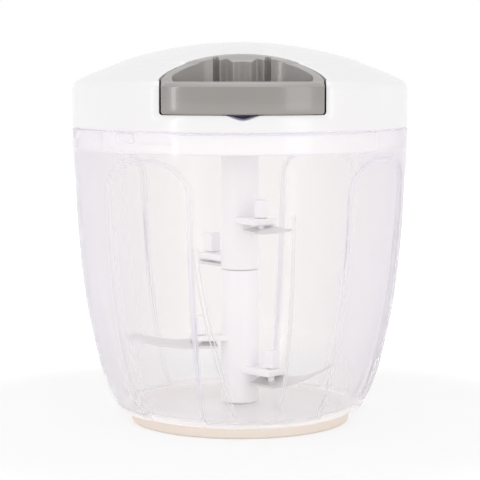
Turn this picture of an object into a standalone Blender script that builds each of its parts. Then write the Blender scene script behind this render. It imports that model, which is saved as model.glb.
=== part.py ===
# Pull-cord food chopper: a clear fluted bowl, a two-stage blade shaft that
# stands on a steel pin, and a lid with a cord reel, its return spring, a
# one-way clutch and the pull handle.
# Lengths are metres. The origin is the centre of the underside, +Z is up and
# the handle faces -Y. Bearings are degrees from -Y, positive towards +X.

import math

import bmesh
import bpy
from mathutils import Matrix, Vector

# Fits
CLEAR = 0.0003
HANDLE_SIDE_GAP = 0.0009
HANDLE_FLOOR_GAP = 0.0005
SPIN_GAP = 0.0004
OVERCUT = 0.002

# Bowl
BOWL_HEIGHT = 0.1155
RIM_RADIUS = 0.0654
FOOT_RADIUS = 0.048
FOOT_HEIGHT = 0.0058
BOWL_WALL = 0.0022
FLOOR_THICKNESS = 0.0022
FLOOR_UNDERSIDE = 0.004
# Share of the height from foot to rim, and share of the radius gained by then.
WALL_SHAPE = ((0, 0), (0.09, 0.28), (0.21, 0.5), (0.39, 0.73), (0.62, 0.885), (0.85, 0.96), (1, 1))
WALL_RINGS = (1, 0.93, 0.9, 0.865, 0.8, 0.62, 0.45, 0.3, 0.18, 0.08, 0)

# Flutes pressed into the bowl's wall
FLUTE_COUNT = 4
FLUTE_BEARING = -34.3
FLUTE_HALF_ANGLE = 15.3
FLUTE_TOP_BELOW_RIM = 0.0105
FLUTE_ARCH = 0.0125
FLUTE_EDGE = 0.0022
FLUTE_DEPTH_TOP = 0.0009
FLUTE_DEPTH_FOOT = 0.0033

# Lugs inside the rim, and the lid's grooves for them
LUG_COUNT = 3
LUG_BEARING = -43.5
LUG_WIDTH = 0.009
LUG_HEIGHT = 0.0033
LUG_BELOW_RIM = 0.0027
LUG_REACH = 0.0012
GROOVE_DEPTH = 0.0016
MOUTH_ANGLES = (-14.5, 5.5)
LOCK_TURN = 15
LOCK_SPARE = 1

# Anti-slip ring under the bowl
RING_RADIUS = 0.043
RING_WIDTH = 0.0072
RING_FILLET = 0.0008
FOOT_RIB_INNER = 0.0382
FOOT_RIB_WIDTH = 0.0024
FOOT_RIB_DROP = 0.002

# Pin that the blade shaft turns on
PIN_RADIUS = 0.0025
PIN_TOP = 0.024
PIN_BOTTOM = 0.002
PIN_BOSS_RADIUS = 0.006
PIN_BOSS_BOTTOM = 0.001
PIN_PAD_HEIGHT = 0.0005

# Blade shaft
SHAFT_RADIUS = 0.0075
SHAFT_BOTTOM = 0.007
SHAFT_JOINT = 0.0593
SPIGOT_RADIUS = 0.0052
SPIGOT_LENGTH = 0.006
HEAD_RADIUS = 0.0062
HEAD_LENGTH = 0.006

# Blades with their arms and caps, from the lowest to the highest
ARM_BEARINGS = (47, -81, -138, 29)
ARM_UNDERSIDES = (0.0188, 0.0308, 0.0622, 0.0783)
ARM_THICKNESS = 0.0026
ARM_WIDTH = 0.0104
ARM_LENGTH = 0.0195
BLADE_PITCHES = (16, -8.5, 8, 10)
BLADE_RISES = (0.009, 0.006, 0.003, 0.002)
BLADE_STEPS = (0.028, 0.04, 0.028, 0.028)
BLADE_TURNS = (0, 0, -42, -12)
BLADE_THICKNESS = 0.001
BLADE_HALF_WIDTH = 0.0052
BLADE_HEEL = 0.0095
BLADE_BEND = 0.0215
BLADE_STEP_RUN = 0.0026
BLADE_LENGTH = 0.0462
# Shares of the half width: taken by the step, then by the taper of each edge.
BLADE_STEP_IN = 0.35
BLADE_FRONT_TAPER = 1.5
BLADE_BACK_TAPER = 0.1
BLADE_STATIONS = (0, 0.1, 0.32, 0.5, 0.575, 0.68, 0.8, 0.91, 1)
CAP_RADIUS = 0.0165
CAP_WIDTH = 0.005
CAP_HEIGHT = 0.0075
CAP_BEVEL = 0.0005
CAP_STEM_RADIUS = 0.0013
CAP_HEAD_RADIUS = 0.0021
CAP_HEAD_HEIGHT = 0.0008

# Lid
SEAM_GAP = 0.00035
LID_INSET = 0.0003
LID_HEIGHT = 0.0322
LID_WALL = 0.002
DOME_RADIUS = 0.147
LID_EDGE_RADIUS = 0.0045
CROWN_RADIUS = 0.0465
CROWN_STEP = 0.0004
CROWN_RINGS = (0, 0.26, 0.52, 0.76, 0.99)
CROWN_EDGE = 1.01
SKIRT_DEPTH = 0.0081
SKIRT_WALL = 0.0029
LID_FLOOR = 0.0022
FLANGE_TOP = 0.0035
SEAL_HEIGHT = 0.0019
SEAL_WIDTH = 0.0016
SEAL_DROP = 0.0012

# Lid screws
SCREW_BEARINGS = (70, 150, -150, -70)
SCREW_INSET = 0.0131
SCREW_RADIUS = 0.0015
SCREW_LENGTH = 0.0135
SCREW_HEAD_RADIUS = 0.0029
SCREW_HEAD_HEIGHT = 0.0012
SCREW_BOSS_RADIUS = 0.0045
SCREW_BOSS_HEIGHT = 0.0025
SCREW_POST_RADIUS = 0.0036

# Pull handle
HANDLE_HALF_WIDTH = 0.0298
HANDLE_DEPTH = 0.0291
HANDLE_BACK_RADIUS = 0.036
HANDLE_ABOVE_SEAM = 0.00605
HANDLE_WALL = 0.0038
HANDLE_FRONT_BAR = 0.004
HANDLE_CORNER = 0.004
HOLE_HALF_WIDTH = 0.0254
# One half of the boss: distance from the middle, then reach from the handle's back.
CORD_BOSS_OUTLINE = (
    (0.0107, 0.0036),
    (0.0087, 0.0031),
    (0.0084, 0.0062),
    (0.0075, 0.0066),
    (0.0069, 0.0052),
    (0.0049, 0.0052),
    (0.004, 0.0082),
    (0.003, 0.0088),
    (0.0018, 0.008),
)
THUMB_NOTCH_RADIUS = 0.0075
THUMB_NOTCH_DEPTH = 0.0016

# Cord
CORD_RADIUS = 0.0008
CORD_HOLE_GAP = 0.0005
KNOT_RADIUS = 0.0022
EYELET_RADIUS = 0.0026
EYELET_FLANGE = 0.0036
EYELET_FLANGE_HEIGHT = 0.0009
CORD_BEND = 0.0008

# Reel, turning on a steel axle under the lid's crown
DRUM_RADIUS = 0.0175
DRUM_LENGTH = 0.009
DRUM_WALL = 0.002
REEL_FLANGE_RADIUS = 0.0225
REEL_FLANGE = 0.0015
REEL_ABOVE_SEAM = 0.00535
REEL_HUB_RADIUS = 0.005
REEL_HUB_DROP = 0.0034
AXLE_RADIUS = 0.00235
AXLE_HEAD_RADIUS = 0.004
AXLE_HEAD_HEIGHT = 0.0015
AXLE_DEPTH = 0.018
POST_RADIUS = 0.006
SPRING_TURNS = 6
SPRING_THICKNESS = 0.00035
COVER_THICKNESS = 0.001

# One-way clutch and drive socket
PAWL_PIVOT = 0.009
PAWL_PIN_RADIUS = 0.0014
PAWL_BOSS_RADIUS = 0.0026
PAWL_LENGTH = 0.007
PAWL_TIP_RADIUS = 0.0006
PAWL_THICKNESS = 0.004
PAWL_REST_ANGLE = -80
PAWL_SWING = 32
TOOTH_COUNT = 24
TOOTH_TIP_CIRCLE = 0.0146
TOOTH_ROOT_CIRCLE = 0.0156
# One tooth's points as shares of the pitch, from the gap where a pawl's tip lies.
TOOTH_RISE = (0.26, 0.36)
TOOTH_FALL = (0.5, 0.72)
DRIVER_RADIUS = 0.0175
DRIVER_HUB_RADIUS = 0.01
DRIVER_PLATE = 0.0015
DRIVER_PLATE_BELOW_SEAM = 0.00065
DRIVER_WALL_HEIGHT = 0.0053
COLLAR_WALL = 0.0026

# Facets round the turned pieces
BOWL_STEPS = 64
LID_STEPS = 60
MEDIUM_STEPS = 36
SMALL_STEPS = 20
TINY_STEPS = 14
HEX_SIDES = 6
GROOVE_STEPS = 6
HANDLE_ARC_STEPS = 14
FRONT_BAR_STEPS = 8
KNOT_STEPS = (12, 8)
SPRING_FACETS = 14


def ease(share):
    share = min(max(share, 0.0), 1.0)
    return share * share * (3 - 2 * share)


def table_value(table, place):
    """A smooth value between the rows of a table of (place, value)."""
    last = len(table) - 1
    row = max(i for i in range(last) if table[i][0] <= place or i == 0)

    def slope(i):
        low, high = table[max(i - 1, 0)], table[min(i + 1, last)]
        return (high[1] - low[1]) / (high[0] - low[0])

    width = table[row + 1][0] - table[row][0]
    share = (place - table[row][0]) / width
    start, end = table[row][1], table[row + 1][1]
    rise = share**3 - 2 * share**2 + share
    fall = share**3 - share**2
    blend = 3 * share**2 - 2 * share**3
    return start + (end - start) * blend + width * (slope(row) * rise + slope(row + 1) * fall)


def wall_radius(share):
    """The bowl's outer radius at a share of the way from its foot to its rim."""
    return FOOT_RADIUS + (RIM_RADIUS - FOOT_RADIUS) * table_value(WALL_SHAPE, share)


def wall_height(share):
    return FOOT_HEIGHT + (BOWL_HEIGHT - FOOT_HEIGHT) * share


# Heights and radii that follow from the sizes above
FLOOR_TOP = FLOOR_UNDERSIDE + FLOOR_THICKNESS
FOOT_RIB_OUTER = FOOT_RIB_INNER + FOOT_RIB_WIDTH
LID_RADIUS = RIM_RADIUS - LID_INSET
SEAM = BOWL_HEIGHT + SEAM_GAP
FLUTE_TOP = BOWL_HEIGHT - FLUTE_TOP_BELOW_RIM
LUG_MIDDLE = BOWL_HEIGHT - LUG_BELOW_RIM
SCREW_CIRCLE = LID_RADIUS - SCREW_INSET
HANDLE_BACK = LID_RADIUS - HANDLE_DEPTH
HANDLE_BOTTOM = SEAM + HANDLE_ABOVE_SEAM
REEL_BOTTOM = SEAM + REEL_ABOVE_SEAM
REEL_HUB_BOTTOM = REEL_BOTTOM - REEL_HUB_DROP
DRIVER_PLATE_TOP = SEAM - DRIVER_PLATE_BELOW_SEAM
DOME_CENTRE = SEAM + LID_HEIGHT - DOME_RADIUS
SKIRT_BOTTOM = SEAM - SKIRT_DEPTH
RIM_INNER = wall_radius((SKIRT_BOTTOM - FOOT_HEIGHT) / (BOWL_HEIGHT - FOOT_HEIGHT)) - BOWL_WALL
SKIRT_RADIUS = RIM_INNER - CLEAR
LID_FLOOR_TOP = SKIRT_BOTTOM + LID_FLOOR
NECK_BOTTOM = SEAM - SEAL_DROP
SEAL_BOTTOM = NECK_BOTTOM + CLEAR
SEAL_INNER = SKIRT_RADIUS - SEAL_WIDTH
FLANGE_UNDERSIDE = SEAL_BOTTOM + SEAL_HEIGHT + CLEAR
SKIRT_INNER = SKIRT_RADIUS - SKIRT_WALL
HEAD_BOTTOM = SKIRT_BOTTOM - CLEAR / 2
HEAD_TOP = HEAD_BOTTOM + HEAD_LENGTH
DRIVER_BOTTOM = HEAD_BOTTOM + SPIN_GAP
DRIVER_PLATE_BOTTOM = DRIVER_PLATE_TOP - DRIVER_PLATE
COLLAR_TOP = DRIVER_PLATE_BOTTOM - CLEAR
DRIVER_HOLE = DRIVER_HUB_RADIUS + SPIN_GAP
DRUM_BOTTOM = REEL_BOTTOM + REEL_FLANGE
DRUM_TOP = DRUM_BOTTOM + DRUM_LENGTH
REEL_TOP = DRUM_TOP + REEL_FLANGE
SPRING_ROOM_RADIUS = DRUM_RADIUS - DRUM_WALL
SPRING_ROOM_FLOOR = DRUM_BOTTOM + REEL_FLANGE
REEL_HUB_TOP = SPRING_ROOM_FLOOR + REEL_FLANGE
POST_BOTTOM = REEL_HUB_TOP + SPIN_GAP
AXLE_TOP = POST_BOTTOM + AXLE_DEPTH
AXLE_HEAD_TOP = REEL_HUB_BOTTOM - CLEAR
CORD_HEIGHT = DRUM_TOP - CLEAR - CORD_RADIUS
WOUND_RADIUS = DRUM_RADIUS + CLEAR + CORD_RADIUS
RECESS_FLOOR = HANDLE_BOTTOM - HANDLE_FLOOR_GAP
RECESS_BACK = HANDLE_BACK - HANDLE_SIDE_GAP
RECESS_WALL_BACK = RECESS_BACK - LID_WALL
HANDLE_ARC_CENTRE = HANDLE_BACK + HANDLE_BACK_RADIUS
CORD_BOSS_FACE = HANDLE_BACK + CORD_BOSS_OUTLINE[-1][1]


def collection(name):
    made = bpy.data.collections.new(name)
    bpy.context.scene.collection.children.link(made)
    return made


def clear_scene():
    for obj in list(bpy.data.objects):
        bpy.data.objects.remove(obj, do_unlink=True)


def material(name, colour, roughness, metallic=0.0, alpha=1.0):
    made = bpy.data.materials.new(name)
    made.use_nodes = True
    made.diffuse_color = (*colour, alpha)
    shader = made.node_tree.nodes["Principled BSDF"]
    shader.inputs["Base Color"].default_value = (*colour, 1)
    shader.inputs["Roughness"].default_value = roughness
    shader.inputs["Metallic"].default_value = metallic
    shader.inputs["Alpha"].default_value = alpha
    return made


def bearing_matrix(bearing, radius=0.0, height=0.0):
    """Places a shape whose outward side is its own +X at a bearing, a radius and a height."""
    turn = Matrix.Rotation(math.radians(bearing - 90), 4, "Z")
    return turn @ Matrix.Translation((radius, 0, height))


def add_object(name, data, where=None):
    obj = bpy.data.objects.new(name, data)
    (where or parts).objects.link(obj)
    return obj


def from_bmesh(name, shape):
    mesh = bpy.data.meshes.new(name)
    shape.to_mesh(mesh)
    shape.free()
    return add_object(name, mesh)


def turned(name, profile, steps):
    """Turns (radius, height) points about Z. A profile off the axis closes on itself."""
    mesh = bpy.data.meshes.new(name)
    count = len(profile)
    edges = [(i, i + 1) for i in range(count - 1)]
    if profile[0][0] > 0:
        edges.append((count - 1, 0))
    mesh.from_pydata([(radius, 0, height) for radius, height in profile], edges, [])
    obj = add_object(name, mesh)
    screw = obj.modifiers.new("Turn", "SCREW")
    screw.steps = screw.render_steps = steps
    screw.use_merge_vertices = True
    screw.merge_threshold = 0.00001
    return obj


def cylinder(name, radius, bottom, top, steps=SMALL_STEPS, place=Matrix()):
    shape = bmesh.new()
    bmesh.ops.create_cone(
        shape, cap_ends=True, segments=steps, radius1=radius, radius2=radius, depth=top - bottom
    )
    bmesh.ops.translate(shape, verts=shape.verts, vec=(0, 0, (top + bottom) / 2))
    bmesh.ops.transform(shape, matrix=place, verts=shape.verts)
    return from_bmesh(name, shape)


def box(name, low, high, place=Matrix()):
    shape = bmesh.new()
    bmesh.ops.create_cube(shape, size=1)
    size = Vector(high) - Vector(low)
    middle = (Vector(high) + Vector(low)) / 2
    bmesh.ops.scale(shape, vec=size, verts=shape.verts)
    bmesh.ops.translate(shape, vec=middle, verts=shape.verts)
    bmesh.ops.transform(shape, matrix=place, verts=shape.verts)
    return from_bmesh(name, shape)


def to_mesh(obj):
    """Replaces a curve with the welded mesh of it."""
    bpy.context.view_layer.update()
    graph = bpy.context.evaluated_depsgraph_get()
    mesh = bpy.data.meshes.new_from_object(obj.evaluated_get(graph))
    shape = bmesh.new()
    shape.from_mesh(mesh)
    bmesh.ops.remove_doubles(shape, verts=shape.verts, dist=0.000001)
    shape.to_mesh(mesh)
    shape.free()
    name, place = obj.name, obj.matrix_world.copy()
    bpy.data.objects.remove(obj, do_unlink=True)
    made = add_object(name, mesh)
    made.matrix_world = place
    return made


def plate(name, outlines, bottom, top):
    """A flat outline, with any holes as further outlines, between two heights."""
    curve = bpy.data.curves.new(name, "CURVE")
    curve.dimensions = "2D"
    curve.fill_mode = "BOTH"
    curve.extrude = (top - bottom) / 2
    for outline in outlines:
        spline = curve.splines.new("POLY")
        spline.points.add(len(outline) - 1)
        for point, (x, y) in zip(spline.points, outline):
            point.co = (x, y, 0, 1)
        spline.use_cyclic_u = True
    obj = add_object(name, curve)
    obj.location.z = (top + bottom) / 2
    return to_mesh(obj)


def tube(name, points, radius, sides=2):
    curve = bpy.data.curves.new(name, "CURVE")
    curve.dimensions = "3D"
    curve.bevel_depth = radius
    curve.bevel_resolution = sides
    curve.use_fill_caps = True
    spline = curve.splines.new("POLY")
    spline.points.add(len(points) - 1)
    for point, place in zip(spline.points, points):
        point.co = (*place, 1)
    return add_object(name, curve)


def polar(radius, angle, centre=(0, 0)):
    """A point on a circle. The angle is in degrees from +X."""
    turn = math.radians(angle)
    return centre[0] + radius * math.cos(turn), centre[1] + radius * math.sin(turn)


def arc(radius, start, end, count, centre=(0, 0)):
    return [polar(radius, start + (end - start) * i / count, centre) for i in range(count + 1)]


def hide_helper(obj):
    parts.objects.unlink(obj)
    cutters.objects.link(obj)
    obj.hide_render = True
    obj.display_type = "WIRE"


def combine(obj, other, operation):
    step = obj.modifiers.new(other.name, "BOOLEAN")
    step.operation = operation
    step.object = other
    step.solver = "EXACT"
    if other.name not in cutters.objects:
        hide_helper(other)


def cut(obj, other):
    combine(obj, other, "DIFFERENCE")


def join(obj, other):
    combine(obj, other, "UNION")


def finish(obj, surface, smooth_angle=35):
    obj.data.materials.clear()
    obj.data.materials.append(surface)
    if obj.type != "MESH":
        return obj
    if any(step.type == "SCREW" for step in obj.modifiers):
        obj.modifiers["Turn"].use_smooth_shade = True
    else:
        obj.data.shade_smooth()
        obj.data.set_sharp_from_angle(angle=math.radians(smooth_angle))
    return obj


def flute_depth(x, y, height):
    """How far the wall is pressed in at a point, from the flute that lies there."""
    radius = math.hypot(x, y)
    rise = (height - (FLUTE_TOP - FLUTE_ARCH)) / FLUTE_ARCH
    if rise >= 1 or radius < RING_RADIUS:
        return 0.0
    pitch = 360 / FLUTE_COUNT
    bearing = math.degrees(math.atan2(x, -y)) - FLUTE_BEARING
    aside = abs((bearing + pitch / 2) % pitch - pitch / 2)
    half_width = math.radians(FLUTE_HALF_ANGLE) * math.sqrt(1 - max(rise, 0) ** 2)
    beyond = (math.radians(aside) - half_width) * radius
    up = (height - FOOT_HEIGHT) / (FLUTE_TOP - FOOT_HEIGHT)
    depth = FLUTE_DEPTH_FOOT + (FLUTE_DEPTH_TOP - FLUTE_DEPTH_FOOT) * min(max(up, 0), 1)
    near_foot = ease((radius - RING_RADIUS) / (FOOT_RADIUS - RING_RADIUS))
    return depth * near_foot * (1 - ease(beyond / FLUTE_EDGE))


def make_bowl():
    outer = [(wall_radius(share), wall_height(share)) for share in WALL_RINGS]
    inner = [(radius - BOWL_WALL, height) for radius, height in outer if height > FLOOR_TOP + BOWL_WALL]
    turn_in = ((FOOT_RADIUS + RING_RADIUS) / 2, (FOOT_HEIGHT + FLOOR_UNDERSIDE) / 2 - CLEAR)
    rib_bottom = FLOOR_UNDERSIDE - FOOT_RIB_DROP
    floor = [
        (0, FLOOR_TOP),
        (FOOT_RADIUS - 2 * BOWL_WALL, FLOOR_TOP),
        (FOOT_RADIUS - BOWL_WALL / 2, FLOOR_TOP + BOWL_WALL / 2),
    ]
    foot = [
        turn_in,
        (RING_RADIUS, FLOOR_UNDERSIDE),
        (FOOT_RIB_OUTER, FLOOR_UNDERSIDE),
        (FOOT_RIB_OUTER, rib_bottom),
        (FOOT_RIB_INNER, rib_bottom),
        (FOOT_RIB_INNER, FLOOR_UNDERSIDE),
        (0, FLOOR_UNDERSIDE),
    ]
    bowl = turned("bowl", floor + inner[::-1] + outer + foot, BOWL_STEPS)
    bowl = to_mesh(bowl)
    bowl.data.transform(Matrix.Rotation(math.radians(FLUTE_BEARING), 4, "Z"))
    for vertex in bowl.data.vertices:
        x, y, height = vertex.co
        share = 1 - flute_depth(x, y, height) / max(math.hypot(x, y), CLEAR)
        vertex.co = (x * share, y * share, height)
    boss = turned(
        "pin_boss",
        [
            (0, FLOOR_TOP + PIN_PAD_HEIGHT),
            (PIN_BOSS_RADIUS, FLOOR_TOP + PIN_PAD_HEIGHT),
            (PIN_BOSS_RADIUS, PIN_BOSS_BOTTOM),
            (0, PIN_BOSS_BOTTOM),
        ],
        SMALL_STEPS,
    )
    join(bowl, boss)
    cut(bowl, cylinder("pin_hole", PIN_RADIUS + CLEAR, PIN_BOTTOM - CLEAR, FLOOR_TOP + OVERCUT))
    for index in range(LUG_COUNT):
        place = bearing_matrix(LUG_BEARING + index * 360 / LUG_COUNT)
        reach = RIM_INNER - LUG_REACH
        low = (reach, -LUG_WIDTH / 2, LUG_MIDDLE - LUG_HEIGHT / 2)
        high = (RIM_INNER + BOWL_WALL / 2, LUG_WIDTH / 2, LUG_MIDDLE + LUG_HEIGHT / 2)
        join(bowl, box(f"lug_{index + 1}", low, high, place))
    return finish(bowl, clear_plastic)


def make_base():
    slot_bottom = FLOOR_UNDERSIDE - FOOT_RIB_DROP - CLEAR
    top = FLOOR_UNDERSIDE - CLEAR
    profile = [
        (RING_RADIUS, top),
        (RING_RADIUS, RING_FILLET),
        (RING_RADIUS - RING_FILLET / 2, 0),
        (RING_RADIUS - RING_WIDTH, 0),
        (RING_RADIUS - RING_WIDTH, top),
        (FOOT_RIB_INNER - CLEAR, top),
        (FOOT_RIB_INNER - CLEAR, slot_bottom),
        (FOOT_RIB_OUTER + CLEAR, slot_bottom),
        (FOOT_RIB_OUTER + CLEAR, top),
    ]
    finish(turned("base_ring", profile, MEDIUM_STEPS), cream_rubber)
    finish(cylinder("pivot_pin", PIN_RADIUS, PIN_BOTTOM, PIN_TOP), steel)


def share_past(reach, start):
    """How much of the way from a start to the blade's tip lies behind this reach."""
    return max(0.0, (reach - start) / (BLADE_LENGTH - start))


def blade_outline(reach, step):
    """The two edges of a blade at this reach."""
    stepped = BLADE_STEP_IN * ease((reach - step) / BLADE_STEP_RUN)
    taper = share_past(reach, step)
    front = BLADE_HALF_WIDTH * (BLADE_FRONT_TAPER * taper**3 - 1)
    back = BLADE_HALF_WIDTH * (1 - stepped - BLADE_BACK_TAPER * taper**2)
    return front, max(back, front + BLADE_THICKNESS / 4)


def make_blade(number, height):
    """A blade riveted under its arm: full width, then stepped in to a point and swept upwards."""
    bearing = ARM_BEARINGS[number - 1]
    columns = len(BLADE_STATIONS) - 1
    shape = bmesh.new()
    bmesh.ops.create_grid(shape, x_segments=columns, y_segments=1, size=1)
    for vertex in shape.verts:
        column = round((vertex.co.x + 1) / 2 * columns)
        reach = BLADE_HEEL + (BLADE_LENGTH - BLADE_HEEL) * BLADE_STATIONS[column]
        front, back = blade_outline(reach, BLADE_STEPS[number - 1])
        lift = BLADE_RISES[number - 1] * share_past(reach, BLADE_BEND) ** 1.5
        vertex.co = (reach - CAP_RADIUS, front if vertex.co.y < 0 else back, lift)
    blade = from_bmesh(f"blade_{number}", shape)
    turn = Matrix.Rotation(math.radians(BLADE_TURNS[number - 1]), 4, "Z")
    pitch = Matrix.Rotation(math.radians(BLADE_PITCHES[number - 1]), 4, "X")
    blade.data.transform(bearing_matrix(bearing, CAP_RADIUS, height) @ turn @ pitch)
    thicken = blade.modifiers.new("Thickness", "SOLIDIFY")
    thicken.thickness = BLADE_THICKNESS
    thicken.offset = 0
    stem = cylinder(
        f"blade_hole_{number}",
        CAP_STEM_RADIUS + CLEAR,
        height - OVERCUT,
        height + OVERCUT,
        place=bearing_matrix(bearing, CAP_RADIUS),
    )
    cut(blade, stem)
    return finish(blade, steel)


def blade_drop(pitch):
    """How far a pitched blade's middle lies under its arm."""
    return BLADE_HALF_WIDTH * math.sin(math.radians(abs(pitch))) + BLADE_THICKNESS / 2 + CLEAR


def make_cap(number, bearing, underside, blade_height):
    """A square cap on the arm, with the stem and head that rivet the blade to it."""
    top = underside + ARM_THICKNESS + CLEAR
    half = CAP_WIDTH / 2
    place = bearing_matrix(bearing, CAP_RADIUS)
    cap = box(f"blade_cap_{number}", (-half, -half, top), (half, half, top + CAP_HEIGHT), place)
    bevel = cap.modifiers.new("Soft edges", "BEVEL")
    bevel.width = CAP_BEVEL
    bevel.segments = 1
    head_top = blade_height - blade_drop(0) - CAP_STEM_RADIUS
    stem = cylinder(f"cap_stem_{number}", CAP_STEM_RADIUS, head_top - CLEAR, top + CLEAR, TINY_STEPS, place)
    head_bottom = head_top - CAP_HEAD_HEIGHT
    head = cylinder(f"cap_head_{number}", CAP_HEAD_RADIUS, head_bottom, head_top, TINY_STEPS, place)
    join(cap, stem)
    join(cap, head)
    return finish(cap, white_plastic)


def add_arm(shaft, number, bearing, underside):
    top = underside + ARM_THICKNESS
    half = ARM_WIDTH / 2
    root = (PIN_RADIUS + SHAFT_RADIUS) / 2
    arm = box(
        f"arm_{number}", (root, -half, underside), (ARM_LENGTH, half, top), bearing_matrix(bearing)
    )
    join(shaft, arm)
    place = bearing_matrix(bearing, CAP_RADIUS)
    hole = cylinder(
        f"arm_hole_{number}",
        CAP_STEM_RADIUS + CLEAR,
        underside - OVERCUT,
        top + OVERCUT,
        TINY_STEPS,
        place,
    )
    cut(shaft, hole)


def make_blade_unit():
    lower = turned(
        "lower_shaft",
        [
            (0, SHAFT_JOINT),
            (SHAFT_RADIUS, SHAFT_JOINT),
            (SHAFT_RADIUS, SHAFT_BOTTOM),
            (PIN_RADIUS + CLEAR, SHAFT_BOTTOM),
            (PIN_RADIUS + CLEAR, PIN_TOP + CLEAR),
            (0, PIN_TOP + CLEAR),
        ],
        MEDIUM_STEPS,
    )
    upper_bottom = SHAFT_JOINT + CLEAR
    upper = turned(
        "upper_shaft",
        [
            (0, HEAD_BOTTOM),
            (SHAFT_RADIUS, HEAD_BOTTOM),
            (SHAFT_RADIUS, upper_bottom),
            (0, upper_bottom),
        ],
        MEDIUM_STEPS,
    )
    spigot_top = SHAFT_JOINT + SPIGOT_LENGTH
    join(lower, cylinder("spigot", SPIGOT_RADIUS, SHAFT_JOINT - OVERCUT, spigot_top, HEX_SIDES))
    low, high = SHAFT_JOINT - OVERCUT, spigot_top + CLEAR
    socket = cylinder("spigot_socket", SPIGOT_RADIUS + CLEAR, low, high, HEX_SIDES)
    cut(upper, socket)
    join(upper, cylinder("drive_head", HEAD_RADIUS, HEAD_BOTTOM - OVERCUT, HEAD_TOP, HEX_SIDES))
    rows = zip(ARM_BEARINGS, ARM_UNDERSIDES, BLADE_PITCHES)
    for number, (bearing, underside, pitch) in enumerate(rows, 1):
        shaft = lower if underside < SHAFT_JOINT else upper
        add_arm(shaft, number, bearing, underside)
        height = underside - blade_drop(pitch)
        make_blade(number, height)
        make_cap(number, bearing, underside, height)
    finish(lower, white_plastic)
    finish(upper, white_plastic)


def dome_height(radius, inset=0.0):
    return DOME_CENTRE + math.sqrt((DOME_RADIUS - inset) ** 2 - radius**2)


def lid_envelope(name):
    """The solid outer form of the lid, from the crown to the seam."""
    crown = [CROWN_RADIUS * share for share in CROWN_RINGS]
    points = [(radius, dome_height(radius) + CROWN_STEP) for radius in crown]
    for radius in (CROWN_RADIUS * CROWN_EDGE, (CROWN_RADIUS + LID_RADIUS) / 2):
        points.append((radius, dome_height(radius)))
    centre_radius = LID_RADIUS - LID_EDGE_RADIUS
    centre_height = dome_height(centre_radius, LID_EDGE_RADIUS)
    tangent = math.degrees(math.asin(centre_radius / (DOME_RADIUS - LID_EDGE_RADIUS)))
    points += arc(LID_EDGE_RADIUS, 90 - tangent, 0, 4, (centre_radius, centre_height))
    points += [(LID_RADIUS, SEAM), (0, SEAM)]
    return turned(name, points, LID_STEPS)


def handle_plan(grow):
    """The handle's plan, from the front past the lid's wall to the arc at its back."""
    half = HANDLE_HALF_WIDTH + grow
    radius = HANDLE_BACK_RADIUS + grow
    front = -LID_RADIUS - OVERCUT
    reach = math.degrees(math.acos((half - HANDLE_CORNER / 2) / radius))
    back = arc(radius, reach, 180 - reach, HANDLE_ARC_STEPS, (0, -HANDLE_ARC_CENTRE))
    side = -HANDLE_ARC_CENTRE + radius * math.sin(math.radians(reach)) - HANDLE_CORNER
    return [(-half, front), (half, front), (half, side), *back, (-half, side)]


def finger_hole():
    radius = HANDLE_BACK_RADIUS - HANDLE_WALL
    wide = CORD_BOSS_OUTLINE[0][0]

    def back_arc(start, end):
        angles = [math.degrees(math.acos(x / radius)) for x in (start, end)]
        return arc(radius, *angles, 4, (0, -HANDLE_ARC_CENTRE))

    bar = LID_RADIUS - HANDLE_FRONT_BAR
    swing = math.degrees(math.asin(HOLE_HALF_WIDTH / bar))
    front = arc(bar, -90 - swing, -90 + swing, FRONT_BAR_STEPS)
    boss = [(x, -HANDLE_BACK - reach) for x, reach in CORD_BOSS_OUTLINE]
    boss += [(-x, y) for x, y in boss[::-1]]
    return front + back_arc(HOLE_HALF_WIDTH, wide) + boss + back_arc(-wide, -HOLE_HALF_WIDTH)


def along_y(x, y, height):
    """Turns a shape's own +Z to -Y, and places it."""
    return Matrix.Translation((x, y, height)) @ Matrix.Rotation(math.radians(90), 4, "X")


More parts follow.
